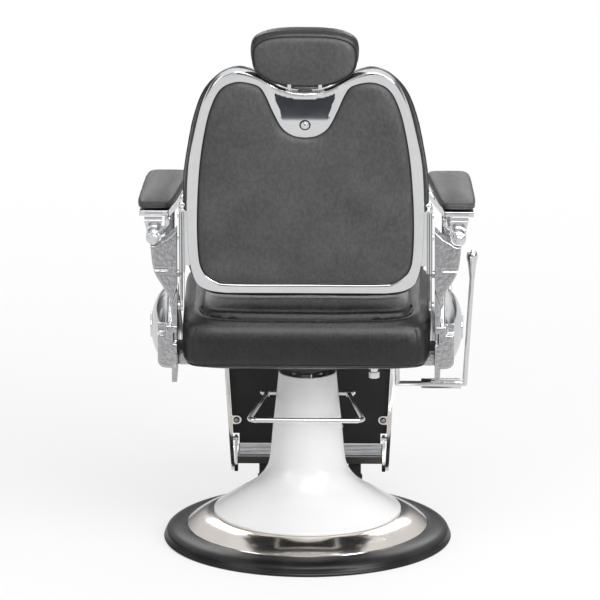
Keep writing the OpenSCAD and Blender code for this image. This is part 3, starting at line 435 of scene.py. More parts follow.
def plywood(name):
    made = Finish(name)
    grain = made.noise(16.0, 6.0, 0.65, stretch=(1.0, 1.0, 14.0))
    plies = made.node("TexWave", {"bands_direction": "Y"},
                      {"Vector": made.place(), "Scale": 110.0, "Distortion": 0.6})
    tone = made.mix(grain, (0.30, 0.18, 0.09), (0.52, 0.36, 0.21))
    colour = made.mix(plies.between(0.6, 0.9) * 0.25, tone, (0.22, 0.12, 0.06))
    return made.surface(Base_Color=colour, Roughness=0.55 + grain * 0.2,
                        Normal=made.bump(grain, 0.2, 0.0004))


ENAMEL = enamel("white_stove_enamel", (0.80, 0.80, 0.798))
RUBBER = rubber("black_moulded_rubber", (0.006, 0.006, 0.007))
DARK_PAINT = paint("black_satin_paint", (0.018, 0.018, 0.02), 0.38, 420.0)
IRON_PAINT = paint("painted_iron_casting", (0.035, 0.036, 0.038), 0.5, 160.0)
VINYL = paint("matt_black_board_cover", (0.012, 0.012, 0.013), 0.5, 700.0)
PLYWOOD = plywood("birch_plywood")
THREAD = paint("waxed_thread", (0.02, 0.02, 0.021), 0.6, 1200.0)
print("painted and covered finishes made")

# %% [markdown]
# Every construction piece now takes its finish. Those that later get a rounded or upholstered
# stand-in keep theirs as well, so nothing is ever left plain.

# %% Finishes onto the construction pieces
WEARS = {name: finish for finish, names in (
    (RUBBER, "floor_ring"), (ENAMEL, "column_cover"), (DISH_STEEL, "base_dish"),
    (IRON_PAINT, "base_disc swivel_hub"), (DARK_PAINT, "seat_frame foot_legs"),
    (PLYWOOD, "seat_board back_frame back_board"), (VINYL, "leg_board"),
    (BOLT_STEEL, "base_bolts hub_bolts"), (TREAD_ALLOY, "foot_tread"),
    (BRIGHT_STEEL, "pump_cylinder cylinder_gland pump_plunger ram_piston swivel_bearing "
                   "hinge_pins head_guide link_left link_right leg_axle"),
    (ROD_CHROME, "pedal_shaft pedal_loop ram_rod lever_arm head_post"),
    (CHROME, "pedal_nuts recline_lock lever_sleeve lever_knob back_rim head_plate bar_bolts "
             "release_button foot_arms side_dome_* arm_knuckle_* arm_plate_* hinge_bar_* "
             "leg_bar_*"),
    (CAST_CHROME, "side_casting_* arm_bracket_*"), (LIT_ARM_LEATHER, "arm_pad_*"),
    (LIT_PANEL_LEATHER, "back_panel"),
    (LEATHER, "seat_cushion back_cushion head_board head_pad leg_pad"),
) for word in names.split() for name in
    ([word.replace("*", side) for side, _ in SIDES] if "*" in word else [word])}
BODY_OF = {n: b for b, group in frame["record"]["behaviour"]["bodies"].items() for n in group}


def rides(piece, body):
    """The piece moves with the body."""
    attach(piece, body)
    return piece


def stands_for(piece, *nodes):
    """The piece replaces the nodes and rides where they do."""
    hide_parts(*nodes)
    return rides(piece, BODY_OF[nodes[0]])


for name, obj in frame["nodes"].items():
    obj.data.materials.clear()
    obj.data.materials.append(WEARS[name])
print("finished:", len(WEARS), "pieces")

# %% [markdown]
# The ring, the dish, the column cover and the side caps are turned or spun: one profile swept
# round an axis. A small Geometry Nodes tree does the same. It lays out a grid, looks up the
# profile point of each row and swings each column round the axis, so the number of steps is one
# named input. `Tree` keeps such trees short to write: every tree here takes a finish and ends the
# same way.

# %% A lathe in Geometry Nodes
class Tree:
    """A Geometry Nodes tree with geometry in and out and named inputs."""

    def __init__(self, name, **inputs):
        self.group = bpy.data.node_groups.new(name, "GeometryNodeTree")
        socket = self.group.interface.new_socket
        socket("Geometry", in_out="INPUT", socket_type="NodeSocketGeometry")
        for label, kind in (*inputs.items(), ("Finish", "Material")):
            socket(label, in_out="INPUT", socket_type="NodeSocket" + kind)
        socket("Geometry", in_out="OUTPUT", socket_type="NodeSocketGeometry")
        self.given = self.group.nodes.new("NodeGroupInput").outputs

    def add(self, kind, inputs, out=0, **settings):
        """Adds a node and returns an output; an input is a socket to link or a plain value."""
        made = self.group.nodes.new(kind)
        for key, value in settings.items():
            setattr(made, key, value)
        for key, value in inputs.items():
            if isinstance(value, bpy.types.NodeSocket):
                self.group.links.new(value, made.inputs[key])
            else:
                made.inputs[key].default_value = value
        return made.outputs[out]

    def math(self, operation, a, b=0.0):
        return self.add("ShaderNodeMath", {0: a, 1: b}, operation=operation)

    def close(self, geometry):
        """Realizes the instances, sets the finish and ends the tree."""
        real = self.add("GeometryNodeRealizeInstances", {0: geometry})
        dressed = self.add("GeometryNodeSetMaterial", {0: real, 2: self.given["Finish"]})
        self.group.links.new(dressed, self.group.nodes.new("NodeGroupOutput").inputs[0])
        print(self.group.name, "tree:", len(self.group.nodes), "nodes")

    def run(self, name, mesh, **inputs):
        """Puts the tree on a new piece, sets its inputs and turns the result into a mesh."""
        piece = new_piece(name, mesh)
        modifier = piece.modifiers.new("nodes", "NODES")
        modifier.node_group = self.group
        for item in self.group.interface.items_tree:
            if item.in_out == "INPUT" and item.name in inputs:
                modifier[item.identifier] = inputs[item.name]
        return bake_modifiers(piece)


lathe = Tree("lathe", Steps="Int", Points="Int")
steps, rows = lathe.given["Steps"], lathe.given["Points"]
grid = lathe.add("GeometryNodeMeshGrid", {2: lathe.math("ADD", steps, 1.0), 3: rows})
number = lathe.add("GeometryNodeInputIndex", {})
column = lathe.math("FLOOR", lathe.math("DIVIDE", lathe.math("ADD", number, 0.25), rows))
row = lathe.math("SUBTRACT", number, lathe.math("MULTIPLY", column, rows))
angle = lathe.math("DIVIDE", lathe.math("MULTIPLY", column, 2 * math.pi), steps)
place = lathe.add("GeometryNodeInputPosition", {})
look = lathe.add("GeometryNodeSampleIndex", {0: lathe.given["Geometry"], 1: place, 2: row},
                 data_type="FLOAT_VECTOR", domain="POINT")
radius, _, height = (lathe.add("ShaderNodeSeparateXYZ", {0: look}, out=i) for i in range(3))
spot = lathe.add("ShaderNodeCombineXYZ",
                 {0: lathe.math("MULTIPLY", radius, lathe.math("COSINE", angle)),
                  1: lathe.math("MULTIPLY", radius, lathe.math("SINE", angle)), 2: height})
swung = lathe.add("GeometryNodeSetPosition", {0: grid, 2: spot})
lathe.close(lathe.add("GeometryNodeMergeByDistance", {0: swung, 2: 1e-5}))


def turn(name, profile, finish, steps, matrix=None):
    """A closed profile of (radius, height) points in millimetres, turned about z and placed."""
    outline = list(profile) + [profile[0]]
    wire = mesh_from(name, [(r * MM, 0, h * MM) for r, h in outline],
                     edges=[(i, i + 1) for i in range(len(outline) - 1)])
    piece = lathe.run(name, wire, Steps=steps, Points=len(outline), Finish=finish)
    tidy(piece.data, matrix)
    return smooth(piece, 32)


def arc(cx, cy, r, start, end, steps):
    """Points along an arc, in degrees."""
    turn_by = [math.radians(start + (end - start) * i / steps) for i in range(steps + 1)]
    return [(cx + r * math.cos(a), cy + r * math.sin(a)) for a in turn_by]


# %% [markdown]
# From the floor up: a moulded rubber ring with a bead at its foot and a full shoulder, a spun
# dish whose edge tucks under the ring, and the enamelled cover, which flares from the column down
# to a flat foot. The cover's wall is 3 mm, and two holes in it let the pedal shaft through.

# %% Floor ring, dish and column cover
SHOULDER = [(268.3 + 47 * math.cos(a), 13 + 20 * math.sin(a))
            for a in map(math.radians, range(4, 85, 4))]
RING = ([(258.4, 0.2), (314.5, 0.2)] + arc(316.2, 3.6, 3.4, -80, 60, 7) + [(317.0, 8.3)]
        + arc(318.6, 9.4, 1.2, 200, 160, 2) + [(316.6, 11.4)] + SHOULDER
        + arc(269.9, 31.4, 1.6, 80, 180, 5) + [(268.2, 30.6), (258.4, 30.6)])
floor_ring = turn("floor_ring_moulding", RING, RUBBER, 224)

RUN = [i / 28 for i in range(29)]
DISH = ([(190.2, 59.6), (206.0, 59.6)]
        + [(206 + 61 * t, 59.9 - 29 * t ** 1.7) for t in RUN[2::2]]
        + [(267.6, 32.2)] + [(206 + 61 * t, 62 - 28 * t ** 1.7) for t in RUN[::-1]]
        + [(190.2, 62.0)])
base_dish = turn("spun_dish", DISH, DISH_STEEL, 224)

FLARE = [(0.944, 73), (0.701, 96), (0.493, 115), (0.354, 130), (0.25, 147), (0.194, 160),
         (0.153, 175), (0.125, 200), (0.09, 259), (0.0417, 325), (0.006, 381)]
line = spline([(64 + 144 * k, z) for k, z in FLARE], 7)
COVER = (arc(206.4, 63.8, 1.6, -90, 0, 4) + arc(205.2, 66.8, 2.8, 0, 75, 5) + line
         + arc(63.2, 384.0, 1.9, 0, 150, 6) + [(r - 3, z) for r, z in line[::-1]]
         + [(192.5, 69.9), (192.5, 62.2)])
column_cover = turn("column_cover_shell", COVER, ENAMEL, 224)


def drill(piece, a, b, radius, crisp):
    """Takes a round hole from a to b out of the piece."""
    bm = bmesh.new()
    bmesh.ops.create_cone(bm, cap_ends=True, segments=48, radius1=radius, radius2=radius,
                          depth=(b - a).length)
    mesh = bpy.data.meshes.new("cutter")
    bm.to_mesh(mesh)
    bm.free()
    mesh.transform(Matrix.Translation((a + b) / 2)
                   @ (b - a).to_track_quat("Z", "Y").to_matrix().to_4x4())
    cutter = new_piece("cutter", mesh)
    modifier = piece.modifiers.new("cut", "BOOLEAN")
    modifier.operation, modifier.solver, modifier.object = "DIFFERENCE", "EXACT", cutter
    bake_modifiers(piece)
    bpy.data.objects.remove(cutter)
    return smooth(piece, crisp)


shaft = middle_of("pedal_shaft")
drill(column_cover, Vector((-0.2, shaft.y, shaft.z)), Vector((0.2, shaft.y, shaft.z)), 0.010, 32)
for piece, node in ((floor_ring, "floor_ring"), (base_dish, "base_dish"),
                    (column_cover, "column_cover")):
    stands_for(piece, node)
    print(piece.name, len(piece.data.polygons), "faces")

# %% [markdown]
# Each side carries a spun cap over the recline joint: a bowl with a rolled rim, a shallow step
# and a flat boss. It is turned the same way and then laid on its side. The pear-shaped lever knob
# and the push button in the notch are turned too.

# %% Side caps, knob and button
BOWL = [(89 * math.cos(a) / 0.978, 8 + 36 * (math.sin(a) - 0.208) / 0.706)
        for a in map(math.radians, range(12, 66, 3))]
CAP = ([(86.8, 0.2), (95.2, 0.2)] + arc(95.0, 2.2, 1.9, -80, 10, 4) + [(96.9, 5.2)]
       + arc(93.6, 5.8, 3.2, 0, 90, 7) + [(91.6, 8.4)] + BOWL[1:]
       + [(30.5, 45.6), (28.6, 46.4)] + arc(25.6, 47.4, 2.4, 5, 90, 6) + [(6.4, 49.8)]
       + [(4.6, 48.9), (0, 48.7)]
       + [(0, 41.0)] + [(r - 3, h - 3) for r, h in BOWL[::-1][:-1]] + [(86.8, 2.4)])
for side, sign in SIDES:
    node = "side_dome_" + side
    low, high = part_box(node)
    foot = Vector((low.x if sign > 0 else high.x, *middle_of(node).yz))
    pose = Matrix.Translation(foot) @ Matrix.Rotation(math.radians(90 * sign), 4, "Y")
    stands_for(turn("side_cap_" + side, CAP, CHROME, 160, pose), node)

middle = middle_of("lever_knob")
PEAR = spline([(6.3, 0.6), (7.0, 9), (7.7, 18), (8.6, 26), (10, 34), (12.3, 46), (12.1, 53),
               (9.6, 58.5), (5, 61.4), (0, 62)], 5)
pear = turn("lever_grip", [(0, 0.2), (5.6, 0.2)] + PEAR, CHROME, 64,
            Matrix.Translation((middle.x, middle.y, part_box("lever_knob")[0].z)))
stands_for(pear, "lever_knob")

PRESSED = BACK @ Matrix.Translation((0, 0, BUTTON_UP)) @ FACE.inverted()
BUTTON = ([(0, -16), (3.9, -16), (3.9, -1.8), (9.2, -1.8)] + arc(8.5, 3.6, 0.9, 0, 90, 5)
          + [(7.2, 4.4), (6.9, 3.6), (6.5, 3.8)] + arc(5.1, 6.0, 1.3, 0, 90, 5)
          + [(2, 7.6), (0, 7.7)])
stands_for(turn("push_button", BUTTON, CHROME, 64, PRESSED), "release_button")
# The black rubber collar round the button stands in for the shadow in the gap around it: painted shade.
BUTTON_SHADOW_RING = ([(10.0, 1.4), (12.3, 1.4)] + arc(11.4, 3.0, 1.0, 0, 90, 4)
          + arc(10.6, 3.2, 0.8, 90, 180, 4))
rides(turn("button_collar", BUTTON_SHADOW_RING, RUBBER, 64, PRESSED), "back")
print("turned: two caps, a knob, a button and its collar")

# %% [markdown]
# Bent rods, bars and plates leave the construction model with knife edges. On real parts each
# edge is broken by a file or by the polishing wheel, and that thin line of light is what the eye
# reads as metal. `softened` copies a piece, merges its loose triangles, and bevels only its true
# edges.

# %% Rounded copies of bars, rods and plates
def welded_copy(node, name):
    """A copy of the construction piece with its triangles joined and its flat faces made whole."""
    mesh = frame["nodes"][node].data.copy()
    work = bmesh.new()
    work.from_mesh(mesh)
    bmesh.ops.remove_doubles(work, verts=work.verts, dist=2e-5)
    bmesh.ops.dissolve_limit(work, angle_limit=math.radians(0.6), verts=work.verts,
                             edges=work.edges)
    work.to_mesh(mesh)
    work.free()
    return new_piece(name, mesh)


def bevel(piece, width, segments, angle=30):
    """Rounds the edges that are sharper than the angle by the width in millimetres."""
    edges = piece.modifiers.new("edges", "BEVEL")
    edges.limit_method, edges.angle_limit = "ANGLE", math.radians(angle)
    edges.width, edges.segments = width * MM, segments


def softened(name, width, segments=2):
    """A copy whose edges are rounded by the width in millimetres."""
    piece = welded_copy(name, name + "_finished")
    bevel(piece, width, segments, 34)
    piece.modifiers.new("even", "WEIGHTED_NORMAL").keep_sharp = True
    piece.data.shade_smooth()
    return stands_for(bake_modifiers(piece), name)


SOFTENED = {"pedal_loop": 0.5, "pedal_shaft": 0.8, "pedal_nuts": 0.7, "swivel_hub": 2.0,
            "seat_frame": 1.2, "recline_lock": 0.8, "lever_arm": 0.4, "lever_sleeve": 1.6,
            "hinge_bar_left": 0.9, "hinge_bar_right": 0.9, "bar_bolts": 0.6, "head_post": 0.7,
            "link_left": 0.7, "link_right": 0.7, "leg_axle": 0.8, "leg_bar_left": 1.0,
            "leg_bar_right": 1.0, "foot_arms": 1.2, "foot_tread": 0.45, "foot_legs": 1.4,
            "cylinder_gland": 1.0, "hinge_pins": 0.8}
for name, width in SOFTENED.items():
    softened(name, width)
seat_base = softened("seat_board", 3.0, 3)
seat_base.data.materials[0] = VINYL
print("softened:", len(SOFTENED) + 1, "pieces")

# %% [markdown]
# Castings are different: sand moulds leave generous fillets inside every corner as well as
# outside. A voxel remesh followed by many small smoothing passes rounds both kinds at once, and
# the cast chrome finish adds the pitted skin.

# %% Castings
def cast(name, voxel, passes):
    """A copy melted into one skin, with fillets about as wide as voxel times passes."""
    piece = welded_copy(name, name + "_casting")
    remesh = piece.modifiers.new("skin", "REMESH")
    remesh.mode, remesh.voxel_size, remesh.adaptivity = "VOXEL", voxel * MM, 0.0
    relax = piece.modifiers.new("fillets", "SMOOTH")
    relax.factor, relax.iterations = 0.5, passes
    return stands_for(smooth(bake_modifiers(piece), 50), name)


CAST = {"arm_bracket": (1.5, 9), "arm_knuckle": (1.0, 6), "arm_plate": (1.4, 5),
        "side_casting": (2.0, 4)}
for name, (voxel, passes) in CAST.items():
    faces = [len(cast(f"{name}_{side}", voxel, passes).data.polygons) for side, _ in SIDES]
    print(name, faces, "faces")

# %% [markdown]
# The rear of the back is one wide band of plated metal round a padded panel. Between the two
# humps the band dips and opens into a shallow scoop with the release button. Both the band and
# the panel are thin formed sheets over a flat outline, so one helper makes them: it fills the
# outline with triangles, lifts every point by its distance from the edge, folds the edge over and
# adds a thickness.

# %% Formed sheets
def spaced(outline, step):
    """The closed outline with a point about every step."""
    out = []
    for a, b in zip(outline, list(outline[1:]) + [outline[0]]):
        count = max(1, round((b - a).length / step))
        out += [a.lerp(b, i / count) for i in range(count)]
    return out


def finder(points):
    """A function that tells how far a point is from the given ones; flat ones lie at z = 0."""
    tree = KDTree(len(points))
    for i, p in enumerate(points):
        tree.insert(p.to_3d(), i)
    tree.balance()
    return lambda *p: tree.find((*p, 0)[:3])[2]


def inside(point, loop):
    """True where the point lies within the closed loop."""
    hit, (x, y) = False, point
    for a, b in zip(loop, loop[1:] + loop[:1]):
        if (a[1] > y) != (b[1] > y) and x < (b[0] - a[0]) * (y - a[1]) / (b[1] - a[1]) + a[0]:
            hit = not hit
    return hit


def beside(loop, inset):
    """Flat points at the inset on both sides of the closed loop."""
    for i, p in enumerate(loop):
        run = (loop[(i + 1) % len(loop)] - loop[i - 1]).normalized()
        for sign in (1, -1):
            yield Vector((p.x + sign * run.y * inset, p.y - sign * run.x * inset))


def fill_outline(outer, hole, insets, step, grid_step):
    """Triangles over the outline, with rows of points that follow its edges."""
    loops = [spaced(line, step) for line in (outer, hole) if line]
    edges = [finder(spaced(loop, step / 3)) for loop in loops]
    points, faces = [], []
    for loop in loops:
        faces.append(list(range(len(points), len(points) + len(loop))))
        points += loop
    rows = [q for loop in loops for inset in insets for q in beside(loop, inset)
            if min(edge(*q) for edge in edges) > inset * 0.93]
    (x0, x1), (y0, y1) = span(loops[0], 0), span(loops[0], 1)
    for i in range(int((x1 - x0) / grid_step) + 1):
        for j in range(int((y1 - y0) / grid_step) + 1):
            q = Vector((x0 + (i + 0.5 * (j % 2)) * grid_step, y0 + j * grid_step))
            if min(edge(*q) for edge in edges) > insets[-1] * 1.35:
                rows.append(q)
    rows = [q for q in rows if inside(q, loops[0]) and not (hole and inside(q, loops[1]))]
    flat = delaunay_2d_cdt(points + rows, [], faces, 1, 1e-6)
    good = [f for f in flat[2]
            if not (hole and inside(sum((flat[0][i] for i in f), Vector((0, 0))) / 3, loops[1]))]
    return flat[0], good, edges


def formed_sheet(name, outer, hole, lift, finish, insets, step, grid_step, fold,
                 thickness=0.0012):
    """lift(x, y, edge distance) gives the height; the outer edge folds down to the height fold."""
    flat, faces, edges = fill_outline(outer, hole, insets, step, grid_step)
    points = [(*p, lift(*p, min(edge(*p) for edge in edges))) for p in flat]
    piece = new_piece(name, mesh_from(name, points, faces), finish)
    work = bmesh.new()
    work.from_mesh(piece.data)
    bmesh.ops.remove_doubles(work, verts=work.verts, dist=1e-5)
    for face in work.faces:
        if face.normal.z < 0:
            face.normal_flip()
    rim = [e for e in work.edges if e.is_boundary and edges[0](*e.verts[0].co.xy) < 1e-5]
    made = bmesh.ops.extrude_edge_only(work, edges=rim)["geom"]
    for vertex in (g for g in made if isinstance(g, bmesh.types.BMVert)):
        vertex.co.z = fold
    bmesh.ops.recalc_face_normals(work, faces=work.faces)
    if sum(f.normal.z for f in work.faces) < 0:
        bmesh.ops.reverse_faces(work, faces=work.faces)
    work.to_mesh(piece.data)
    work.free()
    shell = piece.modifiers.new("shell", "SOLIDIFY")
    shell.thickness, shell.offset = thickness, -1.0
    return smooth(bake_modifiers(piece), 48)


def ramp(value, low, high):
    """Smooth 0 to 1 between the two limits."""
    t = min(max((value - low) / (high - low), 0.0), 1.0)
    return t * t * (3 - 2 * t)


def mark_seam(piece, line, width):
    """Writes the seam attribute along a tucked edge, while the sheet still lies flat."""
    marks = piece.data.attributes.new("seam", "FLOAT", "POINT")
    for vertex, mark in zip(piece.data.vertices, marks.data):
        mark.value = math.exp(-(line(*vertex.co.xy) / width) ** 2)


print("sheet tools ready")

# %% Bright band with its scoop
panel_line = finder(spaced(panel_outline, 0.001))
rim_line = finder(spaced(rim_outline, 0.001))


def band_lift(x, y, edge):
    """A flat band with rounded edges that opens into a scoop between the humps."""
    height = 0.002 - 0.0032 * (1 - min(edge / 0.0032, 1.0) ** 0.5)
    if abs(x) < 0.11 and y > 0.385:
        side = ramp(abs(x), 0.024, 0.046)
        bowl = ramp(panel_line(x, y), 0.0085 * side, 0.0145 + 0.004 * (1 - side))
        bowl *= ramp(rim_line(x, y), 0.003, 0.012) * ramp(0.088 - abs(x), 0.0, 0.022)
        up = max(y - 0.434, 0.0)
        height -= bowl * 0.104 * up * up / (up + 0.006)
    return height


band = formed_sheet("back_band", rim_outline, panel_outline, band_lift, CHROME,
                    insets=(0.0006, 0.0015, 0.003, 0.006, 0.0095), step=0.003, grid_step=0.0035,
                    fold=-0.018, thickness=0.0016)
tidy(band.data, STAND)
drill(band, *(BACK @ Vector((0, y, BUTTON_UP)) for y in (-0.03, 0.03)), 0.0098, 48)
stands_for(band, "back_rim", "head_plate")
print("band", len(band.data.polygons), "faces")


# %% [markdown]
# Seen from the side and from the front, the boards behind the band would show their raw edges. On
# the real chair a leathercloth boxing closes them: a shallow tray that starts inside the band and
# runs forward to the cushion.

# %% Boxing round the boards
def boxing_lift(x, y, edge):
    """From the band forward to the cushion within 8 mm."""
    return -0.0185 - 0.015 * ramp(edge, -0.002, 0.008)


INSET = 0.0065
loop = spaced(rim_outline, 0.004)
boxed = [q for q in beside(loop, INSET) if inside(q, loop) and rim_line(*q) > INSET * 0.9]
boxing = formed_sheet("back_boxing", boxed, None, boxing_lift, LEATHER,
                      insets=(0.0015, 0.003, 0.0055, 0.008), step=0.004, grid_step=0.03,
                      fold=-0.0165)
tidy(boxing.data, STAND)
rides(boxing, "back")
print("boxing", len(boxing.data.polygons), "faces")

# %% [markdown]
# The rear panel is leathercloth pulled over a thin pad and tucked behind the band. It rises
# quickly at the edge, swells a little towards the middle and keeps the slow ripples of hand
# stretching.

# %% Rear panel
def panel_lift(x, y, edge):
    """Tucked edge, slight crown and slow ripples."""
    tuck = 1 - math.exp(-edge / 0.0088)
    swell = 1 - math.exp(-edge / 0.055)
    ripple = noise.noise(Vector((x * 9, y * 7, 0.3))) * 0.0009
    return -0.0035 + 0.012 * tuck + 0.0056 * swell + ripple * swell


panel = formed_sheet("back_panel_cover", panel_outline, None, panel_lift, LIT_PANEL_LEATHER,
                     insets=(0.001, 0.0025, 0.0045, 0.007, 0.011), step=0.004, grid_step=0.0055,
                     fold=-0.0055)
mark_seam(panel, panel_line, 0.0045)
tidy(panel.data, STAND)
stands_for(panel, "back_panel")
print("rear panel", len(panel.data.polygons), "faces")

# %% [markdown]
# The upholstery comes next. Every cushion starts as a pillow over its outline, a little smaller
# than it will be. A voxel remesh gives it an even skin, a short cloth simulation under air
# pressure lets it swell and its sides pull in, and the movement is capped so that it stays in its
# place. Sewn lines are pressed in afterwards, because a remesh would rub them out.

# %% Pillow shapes
def stuffed(name, finish, outline, middle, half, squareness, rings, crown=0.0, foot=None):
    """A closed pillow in x and y, thick in z, with its own squareness below; sizes in metres."""
    centre = Vector((*middle[:2], 0))
    ring = [Vector((p[0], p[1], 0)) - centre for p in outline]
    points, faces, count = [centre + Vector((0, 0, -half - crown))], [], len(ring)
    for k in range(1, 2 * rings):
        turn_by = math.pi * (k / (2 * rings) - 0.5)
        bend = foot if foot and k < rings else squareness
        size = abs(math.cos(turn_by)) ** bend
        lift = power(math.sin(turn_by), bend) * half
        lift += math.copysign(crown * (1 - size ** 2), turn_by) if k != rings else 0.0
        points += [centre + p * size + Vector((0, 0, lift)) for p in ring]
    points.append(centre + Vector((0, 0, half + crown)))
    for i in range(count):
        j = (i + 1) % count
        faces.append((0, 1 + j, 1 + i))
        for k in range(2 * rings - 2):
            a, b = 1 + k * count, 1 + (k + 1) * count
            faces.append((a + i, a + j, b + j, b + i))
        last = 1 + (2 * rings - 2) * count
        faces.append((last + i, last + j, len(points) - 1))
    piece = new_piece(name, mesh_from(name, points, faces), finish)
    tidy(piece.data)
    piece.data.transform(Matrix.Translation((0, 0, middle[2])))
    return piece


CLOTH = {"quality": 4, "mass": 0.4, "tension_stiffness": 30, "compression_stiffness": 30,
         "bending_stiffness": 1.5, "use_pressure": True}
CLOTH_FRAMES, EVENING_PASSES = 20, 30


def inflate(piece, low, high, pressure, cap, voxel):
    """Remeshes, swells within the cap (mm) and keeps between two corners (metres)."""
    skin = piece.modifiers.new("skin", "REMESH")
    skin.mode, skin.voxel_size = "VOXEL", voxel * MM
    bake_modifiers(piece)
    rest = [v.co.copy() for v in piece.data.vertices]
    moved = rest
    cloth = piece.modifiers.new("cloth", "CLOTH").settings
    for key, value in CLOTH.items():
        setattr(cloth, key, value)
    cloth.uniform_pressure_force, cloth.effector_weights.gravity = pressure, 0
    for frame_number in range(1, CLOTH_FRAMES + 1):
        scene.frame_set(frame_number)
    seen = piece.evaluated_get(bpy.context.evaluated_depsgraph_get())
    moved = [v.co.copy() for v in seen.data.vertices]
    piece.modifiers.clear()
    scene.frame_set(1)
    normals = [v.normal.copy() for v in piece.data.vertices]
    swell = [min(max((new - old).dot(n), 0.0), cap * MM)
             for old, new, n in zip(rest, moved, normals)]
    for _ in range(EVENING_PASSES):
        total, count = list(swell), [1] * len(swell)
        for edge in piece.data.edges:
            a, b = edge.vertices
            total[a] += swell[b]
            total[b] += swell[a]
            count[a] += 1
            count[b] += 1
        swell = [t / c for t, c in zip(total, count)]
    for vertex, old, normal, out in zip(piece.data.vertices, rest, normals, swell):
        vertex.co = [min(max(c, a), b) for c, a, b in zip(old + normal * out, low, high)]
    relax = piece.modifiers.new("relax", "SMOOTH")
    relax.factor, relax.iterations = 0.5, 4
    finer = piece.modifiers.new("finer", "SUBSURF")
    finer.levels = finer.render_levels = 1
    bake_modifiers(piece)
    piece.data.shade_smooth()
    return piece


def around(outline, x_size, y_size, y_middle, z):
    """The outline drawn in or out about a middle, at one height."""
    return [Vector((p.x * x_size, y_middle + (p.y - y_middle) * y_size, z)) for p in outline]


def dense(points, step=0.002, closed=True):
    """The same line with a point every step."""
    ends = list(points) + ([points[0]] if closed else [])
    out = []
    for a, b in zip(ends, ends[1:]):
        a, b = Vector(a), Vector(b)
        count = max(1, int((b - a).length / step))
        out += [a.lerp(b, i / count) for i in range(count)]
    return out


def on_surface(piece, points, lift=0.0):
    """The points dropped onto the piece, raised by the lift in metres."""
    tree = BVHTree.FromPolygons([v.co for v in piece.data.vertices],
                                [p.vertices for p in piece.data.polygons])
    out = []
    for point in points:
        spot, normal, _, _ = tree.find_nearest(Vector(point))
        out.append(spot + normal * lift)
    return out


RIDGE = 0.22    # how high the skin swells beside a sewn line, as a part of its depth


def groove(piece, lines, depth, width):
    """Presses sewn lines into the skin (mm) and writes the seam attribute."""
    sewn = finder([p for line in lines for p in line])
    mesh = piece.data
    marks = mesh.attributes.get("seam") or mesh.attributes.new("seam", "FLOAT", "POINT")
    normals = [v.normal.copy() for v in mesh.vertices]
    for vertex, normal, mark in zip(mesh.vertices, normals, marks.data):
        away = sewn(*vertex.co) / (width * MM)
        if away < 5:
            press = math.exp(-away * away) - RIDGE * math.exp(-(away - 2.1) ** 2)
            vertex.co -= normal * depth * MM * press
            mark.value = max(mark.value, math.exp(-(away / 0.7) ** 2))
    mesh.update()
    return piece


print("upholstery tools ready")

# %% [markdown]
# Welts and stitches follow a line, so each is a small Geometry Nodes tree: one sweeps a round
# cord along it, the other walks along it in even steps and sets a grain of thread at each.

# %% Welt and stitch trees
welting = Tree("welt", Radius="Float")
path = welting.add("GeometryNodeMeshToCurve", {0: welting.given["Geometry"]})
even = welting.add("GeometryNodeResampleCurve", {0: path, "Length": 0.004}, mode="LENGTH")
cord = welting.add("GeometryNodeCurvePrimitiveCircle", {0: 10, "Radius": welting.given["Radius"]})
swept = welting.add("GeometryNodeCurveToMesh", {0: even, 1: cord, "Fill Caps": True})
welting.close(welting.add("GeometryNodeSetShadeSmooth", {0: swept}))

stitching = Tree("stitch_run", Pitch="Float", Length="Float", Thickness="Float")
path = stitching.add("GeometryNodeMeshToCurve", {0: stitching.given["Geometry"]})
spots = stitching.add("GeometryNodeCurveToPoints",
                      {0: path, "Length": stitching.given["Pitch"]}, "Points", mode="LENGTH")
along = stitching.add("FunctionNodeAlignRotationToVector",
                      {"Vector": spots.node.outputs["Tangent"]}, axis="X")
grain = stitching.add("GeometryNodeMeshUVSphere", {0: 6, 1: 4, 2: 0.5})
thick = stitching.given["Thickness"]
size = stitching.add("ShaderNodeCombineXYZ", {0: stitching.given["Length"], 1: thick, 2: thick})
stitching.close(stitching.add("GeometryNodeInstanceOnPoints", {
    "Points": spots, "Instance": grain, "Rotation": along, "Scale": size}))


def line_mesh(name, points, closed):
    count = len(points)
    edges = [(i, (i + 1) % count) for i in range(count - (not closed))]
    return mesh_from(name, points, edges=edges)


def welt(name, points, radius, finish=None, closed=True):
    """A round cord along the points; the radius is in millimetres."""
    piece = welting.run(name, line_mesh(name, points, closed), Radius=radius * MM,
                        Finish=finish or LEATHER)
    tidy(piece.data)
    piece.data.shade_smooth()
    return piece


def stitches(name, points, closed=True):
    """A row of stitches along the points, 3.6 mm long and 5.5 mm apart."""
    piece = stitching.run(name, line_mesh(name, points, closed), Pitch=5.5 * MM, Length=3.6 * MM,
                          Thickness=0.9 * MM, Finish=THREAD)
    piece.data.shade_smooth()
    return piece


def fit_in(matrix, *group):
    """Carries finished shapes from their local frame to their place."""
    for piece in group:
        piece.data.transform(matrix)
        piece.data.update()
    return group


def upholster(body, node, fill, cover, *trims):
    """Gives a cushion and its trims to their body and hides the piece they stand for."""
    for piece in (cover, *trims):
        rides(piece, body)
    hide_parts(node)
    print(cover.name, len(cover.data.polygons), "faces,", len(trims), "trims")


# %% [markdown]
# The seat is a thick block with a bulging rear wall under a crease. A sewn line runs round the
# top just inside the edge, short seams close the corners, and a welt finishes the foot where the
# cover is stapled to the board.

# %% Seat cushion
def roll_over(piece, start, radius, reach):
    """Leans the rear wall forward above the height start, so that it rolls over at the top."""
    for vertex in piece.data.vertices:
        rise = min(max((vertex.co.z - start) / radius, 0.0), 0.86)
        vertex.co.y -= radius * (1 - math.sqrt(1 - rise * rise)) * ramp(vertex.co.y, 0.0, reach)
    piece.data.update()


